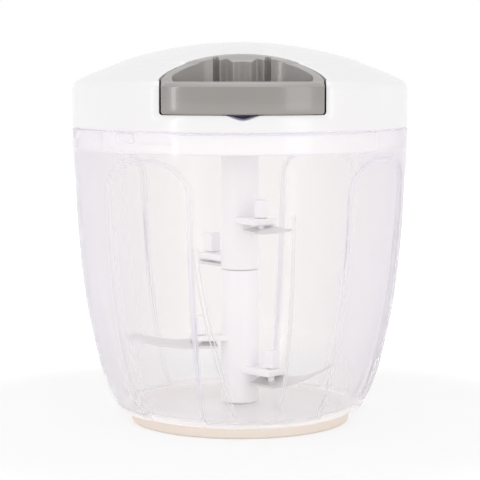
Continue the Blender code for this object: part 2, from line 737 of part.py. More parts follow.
def make_lid_shell():
    shell = lid_envelope("lid_shell")
    inner_radius = LID_RADIUS - LID_WALL
    stations = [inner_radius * share for share in (0, 0.25, 0.5, 0.75, 1)]
    ceiling = [(radius, dome_height(radius, LID_WALL)) for radius in stations]
    room = turned(
        "lid_room",
        ceiling + [(inner_radius, SEAM - OVERCUT), (0, SEAM - OVERCUT)],
        LID_STEPS,
    )
    top = DOME_CENTRE + DOME_RADIUS + OVERCUT
    cut(room, plate("recess_walls", [handle_plan(HANDLE_SIDE_GAP + LID_WALL)], RECESS_FLOOR - LID_WALL, top))
    cut(shell, room)
    cut(shell, plate("recess", [handle_plan(HANDLE_SIDE_GAP)], RECESS_FLOOR, top))
    notch = cylinder(
        "thumb_notch",
        THUMB_NOTCH_RADIUS,
        0,
        HANDLE_WALL,
        place=along_y(0, -LID_RADIUS + LID_WALL, RECESS_FLOOR + THUMB_NOTCH_RADIUS - THUMB_NOTCH_DEPTH),
    )
    cut(shell, notch)
    hole = cylinder(
        "eyelet_hole",
        EYELET_RADIUS + CLEAR,
        -OVERCUT,
        LID_WALL + OVERCUT,
        TINY_STEPS,
        along_y(0, -RECESS_WALL_BACK, CORD_HEIGHT),
    )
    cut(shell, hole)
    join(shell, cylinder("axle_post", POST_RADIUS, POST_BOTTOM, dome_height(0) - LID_WALL / 2))
    cut(shell, cylinder("axle_hole", AXLE_RADIUS + CLEAR, POST_BOTTOM - OVERCUT, AXLE_TOP + CLEAR))
    post_bottom = LID_FLOOR_TOP + SCREW_BOSS_HEIGHT + CLEAR
    for number, bearing in enumerate(SCREW_BEARINGS, 1):
        place = bearing_matrix(bearing, SCREW_CIRCLE)
        post_top = dome_height(SCREW_CIRCLE) - LID_WALL
        name = f"screw_post_{number}"
        join(shell, cylinder(name, SCREW_POST_RADIUS, post_bottom, post_top, TINY_STEPS, place))
        tip = LID_FLOOR_TOP + SCREW_LENGTH
        bore = cylinder(
            f"screw_bore_{number}", SCREW_RADIUS + CLEAR, post_bottom - OVERCUT, tip, TINY_STEPS, place
        )
        cut(shell, bore)
    return finish(shell, white_plastic)


def groove_cutter(name, start, end, bottom, top):
    """A block on an arc just inside the skirt's outer face, between two bearings."""
    inner = SKIRT_RADIUS - GROOVE_DEPTH
    outer = SKIRT_RADIUS + OVERCUT
    near = arc(inner, start - 90, end - 90, GROOVE_STEPS)
    far = arc(outer, end - 90, start - 90, GROOVE_STEPS)
    return plate(name, [near + far], bottom, top)


def make_lid_base():
    flange_top = SEAM + FLANGE_TOP
    flange_radius = LID_RADIUS - LID_WALL - CLEAR
    neck = SEAL_INNER - CLEAR
    base = turned(
        "lid_base",
        [
            (flange_radius, flange_top),
            (flange_radius, FLANGE_UNDERSIDE),
            (neck, FLANGE_UNDERSIDE),
            (neck, NECK_BOTTOM),
            (SKIRT_RADIUS, NECK_BOTTOM),
            (SKIRT_RADIUS, SKIRT_BOTTOM),
            (DRIVER_HOLE, SKIRT_BOTTOM),
            (DRIVER_HOLE, COLLAR_TOP),
            (DRIVER_HOLE + COLLAR_WALL, COLLAR_TOP),
            (DRIVER_HOLE + COLLAR_WALL, LID_FLOOR_TOP),
            (SKIRT_INNER, LID_FLOOR_TOP),
            (SKIRT_INNER, flange_top),
        ],
        LID_STEPS,
    )
    lug_bottom = LUG_MIDDLE - LUG_HEIGHT / 2
    half_lug = math.degrees(LUG_WIDTH / 2 / SKIRT_RADIUS)
    for index in range(LUG_COUNT):
        middle = LUG_BEARING + index * 360 / LUG_COUNT
        left, right = [middle + angle for angle in MOUTH_ANGLES]
        far_end = middle + half_lug + LOCK_TURN + LOCK_SPARE
        top = NECK_BOTTOM + CLEAR
        cut(base, groove_cutter(f"mouth_{index + 1}", left, right, SKIRT_BOTTOM - OVERCUT, top))
        cut(base, groove_cutter(f"run_{index + 1}", left, far_end, lug_bottom - CLEAR, top))
    for number, bearing in enumerate(SCREW_BEARINGS, 1):
        place = bearing_matrix(bearing, SCREW_CIRCLE)
        boss_top = LID_FLOOR_TOP + SCREW_BOSS_HEIGHT
        boss_bottom = LID_FLOOR_TOP - LID_FLOOR / 2
        name = f"screw_boss_{number}"
        join(base, cylinder(name, SCREW_BOSS_RADIUS, boss_bottom, boss_top, TINY_STEPS, place))
        through = cylinder(
            f"screw_hole_{number}",
            SCREW_RADIUS + CLEAR,
            SKIRT_BOTTOM - OVERCUT,
            boss_top + OVERCUT,
            TINY_STEPS,
            place,
        )
        cut(base, through)
        sink = cylinder(
            f"screw_sink_{number}",
            SCREW_HEAD_RADIUS + CLEAR,
            SKIRT_BOTTOM - OVERCUT,
            SKIRT_BOTTOM + SCREW_HEAD_HEIGHT + 2 * CLEAR,
            TINY_STEPS,
            place,
        )
        cut(base, sink)
        make_screw(number, place)
    finish(base, white_plastic)
    seal = [
        (SKIRT_RADIUS, SEAL_BOTTOM + SEAL_HEIGHT),
        (SKIRT_RADIUS, SEAL_BOTTOM),
        (SEAL_INNER, SEAL_BOTTOM),
        (SEAL_INNER, SEAL_BOTTOM + SEAL_HEIGHT),
    ]
    finish(turned("lid_seal", seal, LID_STEPS), seal_rubber)


def make_screw(number, place):
    bottom = SKIRT_BOTTOM + CLEAR
    screw = turned(
        f"lid_screw_{number}",
        [
            (0, bottom + SCREW_LENGTH),
            (SCREW_RADIUS, bottom + SCREW_LENGTH - SCREW_RADIUS),
            (SCREW_RADIUS, bottom + SCREW_HEAD_HEIGHT),
            (SCREW_HEAD_RADIUS, bottom + SCREW_HEAD_HEIGHT),
            (SCREW_HEAD_RADIUS, bottom),
            (0, bottom),
        ],
        TINY_STEPS,
    )
    screw.matrix_world = place
    return finish(screw, steel)


def make_handle():
    top = DOME_CENTRE + DOME_RADIUS + OVERCUT
    handle = plate("handle", [handle_plan(0), finger_hole()], HANDLE_BOTTOM, top)
    combine(handle, lid_envelope("handle_envelope"), "INTERSECT")
    hole = cylinder(
        "cord_hole",
        CORD_RADIUS + CORD_HOLE_GAP,
        -OVERCUT,
        CORD_BOSS_FACE - HANDLE_BACK + OVERCUT,
        TINY_STEPS,
        along_y(0, -HANDLE_BACK, CORD_HEIGHT),
    )
    cut(handle, hole)
    knot_room = cylinder(
        "knot_room",
        KNOT_RADIUS + CLEAR,
        0,
        2 * KNOT_RADIUS + OVERCUT,
        TINY_STEPS,
        along_y(0, -CORD_BOSS_FACE + 2 * KNOT_RADIUS, CORD_HEIGHT),
    )
    cut(handle, knot_room)
    finish(handle, grey_plastic)
    shape = bmesh.new()
    around, along = KNOT_STEPS
    bmesh.ops.create_uvsphere(shape, u_segments=around, v_segments=along, radius=KNOT_RADIUS)
    knot_y = -CORD_BOSS_FACE + KNOT_RADIUS - CLEAR
    bmesh.ops.translate(shape, verts=shape.verts, vec=(0, knot_y, CORD_HEIGHT))
    finish(from_bmesh("cord_knot", shape), cord_fibre)
    return knot_y + KNOT_RADIUS + CLEAR


def make_cords(knot_end):
    """The wound turns, the run from the drum to the eyelet, and the run on to the knot."""
    inner = DRUM_RADIUS + CLEAR
    outer = inner + 2 * CORD_RADIUS
    winding_top = CORD_HEIGHT - CORD_RADIUS - CLEAR
    winding = [
        (outer, winding_top),
        (outer, DRUM_BOTTOM + CLEAR),
        (inner, DRUM_BOTTOM + CLEAR),
        (inner, winding_top),
    ]
    finish(turned("cord_winding", winding, MEDIUM_STEPS), cord_fibre)
    eyelet_rear = -RECESS_WALL_BACK + EYELET_FLANGE_HEIGHT + CLEAR
    leave = math.acos(WOUND_RADIUS / abs(eyelet_rear))
    start = Vector((WOUND_RADIUS * math.sin(leave), -WOUND_RADIUS * math.cos(leave), CORD_HEIGHT))
    bend = Vector((0, eyelet_rear, CORD_HEIGHT))
    mouth = Vector((0, -RECESS_BACK - CLEAR, CORD_HEIGHT))
    before = bend + (start - bend).normalized() * CORD_BEND
    after = bend + (mouth - bend).normalized() * CORD_BEND
    finish(tube("cord_lead", [start, before, after, mouth], CORD_RADIUS), cord_fibre)
    pull = [Vector((0, -RECESS_BACK - 2 * CLEAR, CORD_HEIGHT)), Vector((0, knot_end, CORD_HEIGHT))]
    finish(tube("pull_cord", pull, CORD_RADIUS), cord_fibre)
    bore = CORD_RADIUS + CORD_HOLE_GAP
    length = LID_WALL + CLEAR
    eyelet = turned(
        "cord_eyelet",
        [
            (EYELET_RADIUS, length),
            (EYELET_RADIUS, 0),
            (EYELET_FLANGE, 0),
            (EYELET_FLANGE, -EYELET_FLANGE_HEIGHT),
            (bore + CLEAR, -EYELET_FLANGE_HEIGHT),
            (bore, 0),
            (bore, length),
        ],
        TINY_STEPS,
    )
    eyelet.matrix_world = along_y(0, -RECESS_WALL_BACK + CLEAR, CORD_HEIGHT)
    finish(eyelet, steel)


def make_reel():
    reel = turned(
        "cord_reel",
        [
            (REEL_FLANGE_RADIUS, REEL_TOP),
            (REEL_FLANGE_RADIUS, DRUM_TOP),
            (DRUM_RADIUS, DRUM_TOP),
            (DRUM_RADIUS, DRUM_BOTTOM),
            (REEL_FLANGE_RADIUS, DRUM_BOTTOM),
            (REEL_FLANGE_RADIUS, REEL_BOTTOM),
            (REEL_HUB_RADIUS, REEL_BOTTOM),
            (REEL_HUB_RADIUS, REEL_HUB_BOTTOM),
            (AXLE_RADIUS + CLEAR, REEL_HUB_BOTTOM),
            (AXLE_RADIUS + CLEAR, REEL_HUB_TOP),
            (REEL_HUB_RADIUS, REEL_HUB_TOP),
            (REEL_HUB_RADIUS, SPRING_ROOM_FLOOR),
            (SPRING_ROOM_RADIUS, SPRING_ROOM_FLOOR),
            (SPRING_ROOM_RADIUS, REEL_TOP),
        ],
        MEDIUM_STEPS,
    )
    pin_bottom = DRIVER_PLATE_TOP + SPIN_GAP + CLEAR
    for number, x in enumerate((PAWL_PIVOT, -PAWL_PIVOT), 1):
        pin = cylinder(
            f"pawl_pin_{number}",
            PAWL_PIN_RADIUS,
            pin_bottom,
            REEL_BOTTOM + REEL_FLANGE / 2,
            TINY_STEPS,
            Matrix.Translation((x, 0, 0)),
        )
        join(reel, pin)
    finish(reel, white_plastic)
    cover = [
        (REEL_FLANGE_RADIUS, REEL_TOP + CLEAR + COVER_THICKNESS),
        (REEL_FLANGE_RADIUS, REEL_TOP + CLEAR),
        (POST_RADIUS + SPIN_GAP, REEL_TOP + CLEAR),
        (POST_RADIUS + SPIN_GAP, REEL_TOP + CLEAR + COVER_THICKNESS),
    ]
    finish(turned("spring_cover", cover, MEDIUM_STEPS), white_plastic)
    axle = [
        (0, AXLE_TOP),
        (AXLE_RADIUS, AXLE_TOP),
        (AXLE_RADIUS, AXLE_HEAD_TOP),
        (AXLE_HEAD_RADIUS, AXLE_HEAD_TOP),
        (AXLE_HEAD_RADIUS, AXLE_HEAD_TOP - AXLE_HEAD_HEIGHT),
        (0, AXLE_HEAD_TOP - AXLE_HEAD_HEIGHT),
    ]
    finish(turned("reel_axle", axle, SMALL_STEPS), steel)


def make_spring():
    """A flat spiral spring from the lid's post to the wall of the drum."""
    inner = POST_RADIUS + CLEAR + SPRING_THICKNESS
    outer = SPRING_ROOM_RADIUS - CLEAR - SPRING_THICKNESS
    bottom = REEL_HUB_TOP + CLEAR
    top = REEL_TOP - CLEAR
    steps = SPRING_FACETS * SPRING_TURNS
    curve = bpy.data.curves.new("mainspring", "CURVE")
    curve.dimensions = "2D"
    curve.fill_mode = "NONE"
    curve.extrude = (top - bottom) / 2
    spline = curve.splines.new("POLY")
    spline.points.add(steps)
    for index, point in enumerate(spline.points):
        angle = 2 * math.pi * SPRING_TURNS * index / steps
        radius = inner + (outer - inner) * index / steps
        point.co = (radius * math.cos(angle), radius * math.sin(angle), 0, 1)
    obj = add_object("mainspring", curve)
    obj.location.z = (top + bottom) / 2
    spring = to_mesh(obj)
    thicken = spring.modifiers.new("Strip", "SOLIDIFY")
    thicken.thickness = SPRING_THICKNESS
    thicken.offset = 0
    finish(spring, steel)


def pawl_outline():
    """A strut from the pivot's boss to a rounded tip, drawn about the pivot and along +X."""
    lean = math.degrees(math.asin((PAWL_BOSS_RADIUS - PAWL_TIP_RADIUS) / PAWL_LENGTH))
    tip = arc(PAWL_TIP_RADIUS, lean - 90, 90 - lean, 4, (PAWL_LENGTH, 0))
    boss = arc(PAWL_BOSS_RADIUS, 90 - lean, 270 + lean, TINY_STEPS)
    return [tip + boss, arc(PAWL_PIN_RADIUS + CLEAR, 0, 330, 11)]


def make_pawls():
    bottom = DRIVER_PLATE_TOP + SPIN_GAP
    for number, side in enumerate((0, 180), 1):
        pawl = plate(f"pawl_{number}", pawl_outline(), 0, PAWL_THICKNESS)
        pawl.data.transform(Matrix.Translation((0, 0, PAWL_THICKNESS / 2)))
        pawl.data.transform(Matrix.Rotation(math.radians(PAWL_REST_ANGLE + side), 4, "Z"))
        turn = Matrix.Rotation(math.radians(side), 4, "Z")
        pawl.matrix_world = Matrix.Translation(turn @ Vector((PAWL_PIVOT, 0, bottom)))
        finish(pawl, grey_plastic)


def ratchet_outline():
    """Saw teeth pointing in, with the gap between two of them where a raised pawl's tip lies."""
    raised = math.radians(PAWL_REST_ANGLE + PAWL_SWING)
    tip_x = PAWL_PIVOT + PAWL_LENGTH * math.cos(raised)
    tip_y = PAWL_LENGTH * math.sin(raised)
    gap = math.degrees(math.atan2(tip_y, tip_x))
    pitch = 360 / TOOTH_COUNT
    points = []
    corners = zip(
        (*TOOTH_RISE, *TOOTH_FALL),
        (TOOTH_ROOT_CIRCLE, TOOTH_TIP_CIRCLE, TOOTH_TIP_CIRCLE, TOOTH_ROOT_CIRCLE),
    )
    tooth = list(corners)
    for index in range(TOOTH_COUNT):
        points += [polar(radius, gap + (index + share) * pitch) for share, radius in tooth]
    return points


def make_driver():
    plate_radius = (DRIVER_RADIUS + TOOTH_ROOT_CIRCLE) / 2
    driver = turned(
        "drive_socket",
        [
            (0, DRIVER_PLATE_TOP),
            (plate_radius, DRIVER_PLATE_TOP),
            (plate_radius, DRIVER_PLATE_BOTTOM),
            (DRIVER_HUB_RADIUS, DRIVER_PLATE_BOTTOM),
            (DRIVER_HUB_RADIUS, DRIVER_BOTTOM),
            (0, DRIVER_BOTTOM),
        ],
        MEDIUM_STEPS,
    )
    rim = arc(DRIVER_RADIUS, 0, 360 - 360 / MEDIUM_STEPS, MEDIUM_STEPS - 1)
    wall_top = DRIVER_PLATE_TOP + DRIVER_WALL_HEIGHT
    ratchet = plate("ratchet", [rim, ratchet_outline()], DRIVER_PLATE_BOTTOM + CLEAR, wall_top)
    join(driver, ratchet)
    socket_radius = HEAD_RADIUS + SPIN_GAP
    low, high = DRIVER_BOTTOM - OVERCUT, HEAD_TOP + CLEAR
    cut(driver, cylinder("head_socket", socket_radius, low, high, HEX_SIDES))
    finish(driver, grey_plastic)


def gather(name, place, nodes):
    """Parents a body's pieces to an empty that stands on its joint's axis."""
    body = add_object(name, None)
    body.location = place
    bpy.context.view_layer.update()
    for node in nodes:
        piece = bpy.data.objects[node]
        piece.parent = body
        piece.matrix_parent_inverse = body.matrix_world.inverted()


def numbered(stem, count=4):
    return [f"{stem}_{number}" for number in range(1, count + 1)]


clear_scene()
parts = collection("food_chopper")
cutters = collection("cutters")
clear_plastic = material("clear_plastic", (0.83, 0.81, 0.83), 0.08, alpha=0.35)
white_plastic = material("white_plastic", (0.92, 0.92, 0.93), 0.35)
grey_plastic = material("grey_plastic", (0.33, 0.31, 0.3), 0.42)
cream_rubber = material("cream_rubber", (0.86, 0.76, 0.68), 0.7)
seal_rubber = material("seal_rubber", (0.85, 0.85, 0.87), 0.6)
steel = material("steel", (0.6, 0.59, 0.58), 0.25, 1)
cord_fibre = material("cord_fibre", (0.8, 0.8, 0.8), 0.85)

make_bowl()
make_base()
make_blade_unit()
make_lid_shell()
make_lid_base()
make_cords(make_handle())
make_reel()
make_spring()
make_pawls()
make_driver()

gather("bowl_body", (0, 0, 0), ["bowl", "base_ring", "pivot_pin"])
gather(
    "blade_body",
    (0, 0, SHAFT_BOTTOM),
    ["lower_shaft", "upper_shaft", *numbered("blade"), *numbered("blade_cap")],
)
gather(
    "lid_body",
    (0, 0, SEAM),
    [
        "lid_shell",
        "lid_base",
        "lid_seal",
        "cord_eyelet",
        "cord_lead",
        "reel_axle",
        "mainspring",
        *numbered("lid_screw"),
    ],
)
gather("reel_body", (0, 0, REEL_BOTTOM), ["cord_reel", "spring_cover", "cord_winding"])
gather("pawl_body_1", (PAWL_PIVOT, 0, REEL_BOTTOM), ["pawl_1"])
gather("pawl_body_2", (-PAWL_PIVOT, 0, REEL_BOTTOM), ["pawl_2"])
gather("driver_body", (0, 0, DRIVER_BOTTOM), ["drive_socket"])
gather("handle_body", (0, -HANDLE_BACK, CORD_HEIGHT), ["handle", "cord_knot", "pull_cord"])
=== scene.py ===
from math import acos, asin, atan2, cos, degrees, dist, exp, hypot, pi, radians, sin, sqrt, tan

import bmesh
import bpy
from mathutils import Matrix, Vector


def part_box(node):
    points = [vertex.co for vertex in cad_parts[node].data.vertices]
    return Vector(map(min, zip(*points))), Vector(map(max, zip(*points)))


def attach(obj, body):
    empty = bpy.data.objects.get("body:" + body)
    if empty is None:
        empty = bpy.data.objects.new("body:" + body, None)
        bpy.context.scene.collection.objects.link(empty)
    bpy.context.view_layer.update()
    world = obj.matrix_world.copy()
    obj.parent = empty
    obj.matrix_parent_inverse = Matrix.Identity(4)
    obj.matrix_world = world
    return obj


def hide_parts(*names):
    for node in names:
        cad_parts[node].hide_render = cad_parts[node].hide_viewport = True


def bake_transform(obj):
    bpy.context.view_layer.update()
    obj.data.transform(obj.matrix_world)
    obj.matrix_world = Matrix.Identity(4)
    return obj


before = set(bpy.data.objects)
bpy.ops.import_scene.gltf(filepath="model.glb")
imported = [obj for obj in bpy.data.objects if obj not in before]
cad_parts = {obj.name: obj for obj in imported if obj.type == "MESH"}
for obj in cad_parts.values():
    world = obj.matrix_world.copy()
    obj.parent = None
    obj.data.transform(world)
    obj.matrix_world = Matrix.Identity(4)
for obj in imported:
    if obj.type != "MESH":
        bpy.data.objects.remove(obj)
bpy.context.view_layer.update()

# Pull-cord chopper on a white sweep. Metres, the handle faces -Y.
# Bearings are degrees from -Y, positive towards +X.

fit = {"gap": 0.0003, "handleSide": 0.0011, "handleFloor": 0.0002}
overlap = 0.002  # how far a tool reaches past a face


# Shader helpers

def operator(operation, swapped=False):
    def apply(self, other):
        pair = [other, self] if swapped else [self, other]
        return self.board.add("ShaderNodeMath", {"operation": operation}, pair)

    return apply


class Signal:  # a socket that can stand in a sum
    def __init__(self, board, socket):
        self.board = board
        self.socket = socket

    __add__ = __radd__ = operator("ADD")
    __sub__, __rsub__ = operator("SUBTRACT"), operator("SUBTRACT", True)
    __mul__ = __rmul__ = operator("MULTIPLY")
    __pow__, __rpow__ = operator("POWER"), operator("POWER", True)


class Board:  # the node tree of one material or of the world
    def __init__(self, owner, output="ShaderNodeOutputMaterial"):
        self.owner = owner
        owner.use_nodes = True
        self.tree = owner.node_tree
        self.tree.nodes.clear()
        self.output = self.tree.nodes.new(output)

    def add(self, kind, settings=None, values=None, output=0):
        node = self.tree.nodes.new(kind)
        for key, value in (settings or {}).items():
            if key == "stops":
                self.fillRamp(node.color_ramp, value)
            else:
                setattr(node, key, value)
        pairs = values.items() if isinstance(values, dict) else enumerate(values or [])
        for key, value in pairs:
            if isinstance(value, Signal):
                self.tree.links.new(value.socket, node.inputs[key])
            else:
                node.inputs[key].default_value = value
        return Signal(self, node.outputs[output])

    def fillRamp(self, ramp, stops):
        while len(ramp.elements) < len(stops):
            ramp.elements.new(1)
        for element, (place, colour) in zip(ramp.elements, stops):
            element.position = place
            element.color = (*colour, 1)

    def ramp(self, value, stops):
        return self.add("ShaderNodeValToRGB", {"stops": stops}, [value])

    def blend(self, share, first, second):  # two colours
        return self.add("ShaderNodeMix", {"data_type": "RGBA"}, {0: share, 6: first, 7: second}, 2)

    def greater(self, first, second):
        return self.add("ShaderNodeMath", {"operation": "MAXIMUM"}, [first, second])

    def ray(self, kind):
        return self.add("ShaderNodeLightPath", output=f"Is {kind} Ray")

    def place(self, scale):  # object coordinates, stretched
        spot = self.add("ShaderNodeTexCoord", output=3)
        return self.add("ShaderNodeMapping", None, {"Vector": spot, "Scale": scale})

    def noise(self, scale, detail, stretch=(1, 1, 1)):
        values = {"Vector": self.place(stretch), "Scale": scale, "Detail": detail}
        return self.add("ShaderNodeTexNoise", None, values)

    def bump(self, height, strength, distance):
        return self.add("ShaderNodeBump", None, {"Height": height, "Strength": strength, "Distance": distance})

    def principled(self, values):
        return self.add("ShaderNodeBsdfPrincipled", None, values)

    def surface(self, shader):
        self.tree.links.new(shader.socket, self.output.inputs["Surface"])
        return self.owner


def newBoard(name):
    return Board(bpy.data.materials.new(name))


def grey(level):
    return (level, level, level, 1)


# Moulded finishes. A cloud (scale, detail) blends the two colours and adds to the least roughness
# and alpha. Grain is scale, detail and strength. Gap is painted shade in narrow gaps: its reach, the openness
# that clears it and its colour.

grainHeight = 0.0002
lidTone = {
    "cloud": (60, 3),
    "colours": ((0.9, 0.889, 0.896, 1), (0.882, 0.876, 0.888, 1)),
    "roughness": (0.2, 0.08),
    "grain": (1400, 2, 0.04),
    "fixed": {"IOR": 1.5, "Coat Weight": 0.25, "Coat Roughness": 0.08},
}
# painted shade: the recess's plastic darkens where faces meet closely
recessShadedTone = {**lidTone, "gap": (0.004, 0.38, (0.1, 0.09, 0.15, 1))}
skirtTone = {  # seen through the bowl's wall
    "cloud": (60, 3),
    "colours": ((0.955, 0.948, 0.962, 1), (0.937, 0.93, 0.952, 1)),
    "roughness": (0.35, 0.1),
}
shaftTone = {
    "cloud": (90, 3),
    "colours": ((0.95, 0.94, 0.955, 1), (0.91, 0.905, 0.935, 1)),
    "roughness": (0.3, 0.12),
    "grain": (900, 2, 0.06),
    "fixed": {
        "Subsurface Weight": 0.08,
        "Subsurface Scale": 0.002,
        # painted light: a faint white glow lifts the shaft, caps and reel
        "Emission Color": (1, 0.97, 0.99, 1),
        "Emission Strength": 0.02,
    },
}
handleTone = {
    "cloud": (45, 4),
    "colours": ((0.31, 0.291, 0.276, 1), (0.335, 0.315, 0.299, 1)),
    "roughness": (0.15, 0.07),
    "grain": (1100, 2, 0.05),
    # painted shade: the handle's plastic darkens in its narrow gaps and slots
    "gap": (0.002, 0.4, (0.03, 0.028, 0.035, 1)),
    "fixed": {"IOR": 1.52, "Coat Weight": 0.5, "Coat Roughness": 0.07},
}
ringTone = {
    "cloud": (70, 3),
    "colours": ((0.85, 0.745, 0.66, 1), (0.87, 0.785, 0.71, 1)),
    "roughness": (0.5, 0.15),
    "grain": (1600, 3, 0.15),
    "fixed": {"Subsurface Weight": 0.2, "Subsurface Scale": 0.003},
}
# painted light: the seal is pale and glows violet so the seam between lid and bowl reads light
sealGlowTone = {
    "cloud": (120, 2),
    "colours": ((0.92, 0.91, 0.95, 1), (0.87, 0.86, 0.91, 1)),
    "roughness": (0.5, 0.1),
    "fixed": {"Emission Color": (0.84, 0.81, 0.97, 1), "Emission Strength": 0.3},
}
streakTone = {
    "cloud": (300, 2, (1, 1, 0.1)),
    "colours": ((0.95, 0.935, 0.93, 1), (0.8, 0.78, 0.8, 1)),
    "roughness": (0.2, 0.1),
    "alpha": (0.35, 0.25),
}


# painted shade: dark colours with a faint painted glow, for plastic that little light reaches
def shade(first, second, glow):  # plastic that little light reaches
    fixed = {"Emission Color": glow, "Emission Strength": 1.0}
    return {"cloud": (200, 2), "colours": (first, second), "roughness": (0.4, 0.1), "fixed": fixed}


def makeMoulded(name, tone):
    board = newBoard(name)
    cloud = board.noise(*tone["cloud"])
    colour = board.blend(cloud, *tone["colours"])
    # painted shade: ambient occlusion blends the colour towards the dark gap colour where faces meet closely
    if "gap" in tone:
        reach, clears, dark = tone["gap"]
        opened = board.add("ShaderNodeAmbientOcclusion", {"samples": 8}, {"Distance": reach}, 1)
        colour = board.blend(board.ramp(opened, [(0.0, (1, 1, 1)), (clears, (0, 0, 0))]), colour, dark)
    least, added = tone["roughness"]
    values = {"Base Color": colour, "Roughness": least + added * cloud, **tone.get("fixed", {})}
    if "alpha" in tone:
        least, added = tone["alpha"]
        values["Alpha"] = least + added * cloud
    if "grain" in tone:
        scale, detail, strength = tone["grain"]
        values["Normal"] = board.bump(board.noise(scale, detail), strength, grainHeight)
    return board.surface(board.principled(values))


bowlTone = {
    "flow": (28, 2, (1, 1, 0.45)),
    "ripple": (0.05, 0.002),
    "tint": (0.99, 0.985, 0.986, 1),
    "through": (0.99, 0.985, 0.988, 1),
    "veil": (0.9, 0.868, 0.865, 1),
    "violet": (0.79, 0.763, 0.862, 1),
    "veilShare": 0.1,
    "edgeShare": 0.55,
    "flankShare": 0.35,
    "footShare": 0.6,
    "footFade": 8,
    "footGlow": (1, 0.93, 0.91, 1),
    "glow": 0.11,
}


def makeClearPlastic():
    board = newBoard("clearPlastic")
    ripple = board.bump(board.noise(*bowlTone["flow"]), *bowlTone["ripple"])
    # the low index keeps the thin walls pale, and the coat gives them their shine
    clear = board.principled({
        "Base Color": bowlTone["tint"],
        "Roughness": 0.02,
        "IOR": 1.1,
        "Transmission Weight": 1.0,
        "Coat Weight": 0.3,
        "Coat Roughness": 0.1,
        "Normal": ripple,
    })
    flank = board.add("ShaderNodeAttribute", {"attribute_name": "flank"}, output="Fac")
    foot = board.add("ShaderNodeAttribute", {"attribute_name": "foot"}, output="Fac")
    facing = board.add("ShaderNodeLayerWeight", None, {"Blend": 0.5}, "Facing")
    edge = facing + bowlTone["flankShare"] * flank
    violetShare = edge * (1 - bowlTone["footFade"] * foot * foot)  # less low down and on the floor
    veil = board.principled({
        "Base Color": board.blend(violetShare, bowlTone["veil"], bowlTone["violet"]),
        "Roughness": 0.3,
        "Normal": ripple,
        # painted light: the veil glows warm white where the foot mark is high, on the foot and, less, the
        # floor
        "Emission Color": board.blend(foot, grey(0), bowlTone["footGlow"]),
        "Emission Strength": bowlTone["glow"],
    })
    share = bowlTone["veilShare"] + bowlTone["edgeShare"] * edge + bowlTone["footShare"] * foot
    lit = board.add("ShaderNodeMixShader", None, [share, clear, veil])
    through = board.add("ShaderNodeBsdfTransparent", None, {"Color": bowlTone["through"]})
    passing = board.greater(board.ray("Shadow"), board.ray("Diffuse"))
    return board.surface(board.add("ShaderNodeMixShader", None, [passing, lit, through]))


steelTone = {
    "colours": ((0.85, 0.84, 0.835, 1), (0.71, 0.7, 0.705, 1)),
    "metallic": 0.85,
    "lines": (500, 3),
    "cloud": (40, 2),
    "lineShare": 0.4,
    "lineRough": 0.16,
    "scratch": (0.12, 0.0001),
}


def makeSteel(name, stretch, roughness):
    board = newBoard(name)
    lines = board.noise(*steelTone["lines"], stretch)
    cloud = board.noise(*steelTone["cloud"])
    share = steelTone["lineShare"]
    return board.surface(board.principled({
        "Base Color": board.blend(cloud * (1 - share) + lines * share, *steelTone["colours"]),
        "Metallic": steelTone["metallic"],
        "Roughness": roughness + steelTone["lineRough"] * lines,
        "Normal": board.bump(lines, *steelTone["scratch"]),
    }))


cordTone = {"colours": ((0.84, 0.84, 0.83, 1), (0.45, 0.45, 0.46, 1)), "plait": 2600, "depth": (0.6, 0.0003)}


def makeCordFibre():
    board = newBoard("cordFibre")
    values = {"Vector": board.place((1, 0.45, 1)), "Scale": cordTone["plait"]}
    plait = board.add("ShaderNodeTexVoronoi", None, values)
    return board.surface(board.principled({
        "Base Color": board.blend(plait, *cordTone["colours"]),
        "Roughness": 0.7 + 0.2 * plait,
        "Normal": board.bump(1 - plait, *cordTone["depth"]),
        "Sheen Weight": 0.3,
    }))


deepTone = shade((0.035, 0.032, 0.06, 1), (0.05, 0.045, 0.08, 1), (0.022, 0.019, 0.045, 1))
notchTone = shade((0.38, 0.37, 0.48, 1), (0.44, 0.43, 0.53, 1), (0.02, 0.018, 0.03, 1))
skirtEdgeShadeTone = shade((0.74, 0.73, 0.86, 1), (0.78, 0.77, 0.88, 1), (0.1, 0.098, 0.12, 1))
deepShadow = makeMoulded("deepShadow", deepTone)
notchShade = makeMoulded("notchShade", notchTone)
skirtEdgeShade = makeMoulded("skirtEdgeShade", skirtEdgeShadeTone)
streakPlastic = makeMoulded("streakPlastic", streakTone)
lidPlastic = makeMoulded("lidPlastic", lidTone)
recessShadedPlastic = makeMoulded("recessShadedPlastic", recessShadedTone)
skirtPlastic = makeMoulded("skirtPlastic", skirtTone)
shaftPlastic = makeMoulded("shaftPlastic", shaftTone)
handlePlastic = makeMoulded("handlePlastic", handleTone)
clearPlastic = makeClearPlastic()
ringRubber = makeMoulded("ringRubber", ringTone)
sealRubberGlow = makeMoulded("sealRubberGlow", sealGlowTone)
bladeSteel = makeSteel("bladeSteel", (0.3, 0.3, 4), 0.36)
pinSteel = makeSteel("pinSteel", (1, 1, 0.1), 0.25)
cordFibre = makeCordFibre()
print("finishes made")


# Mesh helpers

def ease(share):
    share = min(max(share, 0), 1)
    return share * share * (3 - 2 * share)


def lerp(first, second, share):
    return tuple(a + (b - a) * share for a, b in zip(first, second))


def bowed(start, corner, end, stops):  # eighths of a bend from start to end
    return [lerp(lerp(start, corner, k / 8), lerp(corner, end, k / 8), k / 8) for k in stops]


def polar(radius, angle, centre=(0, 0)):  # the angle is in degrees from +X
    turn = radians(angle)
    return centre[0] + radius * cos(turn), centre[1] + radius * sin(turn)


def arc(radius, start, end, count, centre=(0, 0)):
    return [polar(radius, start + (end - start) * i / count, centre) for i in range(count + 1)]


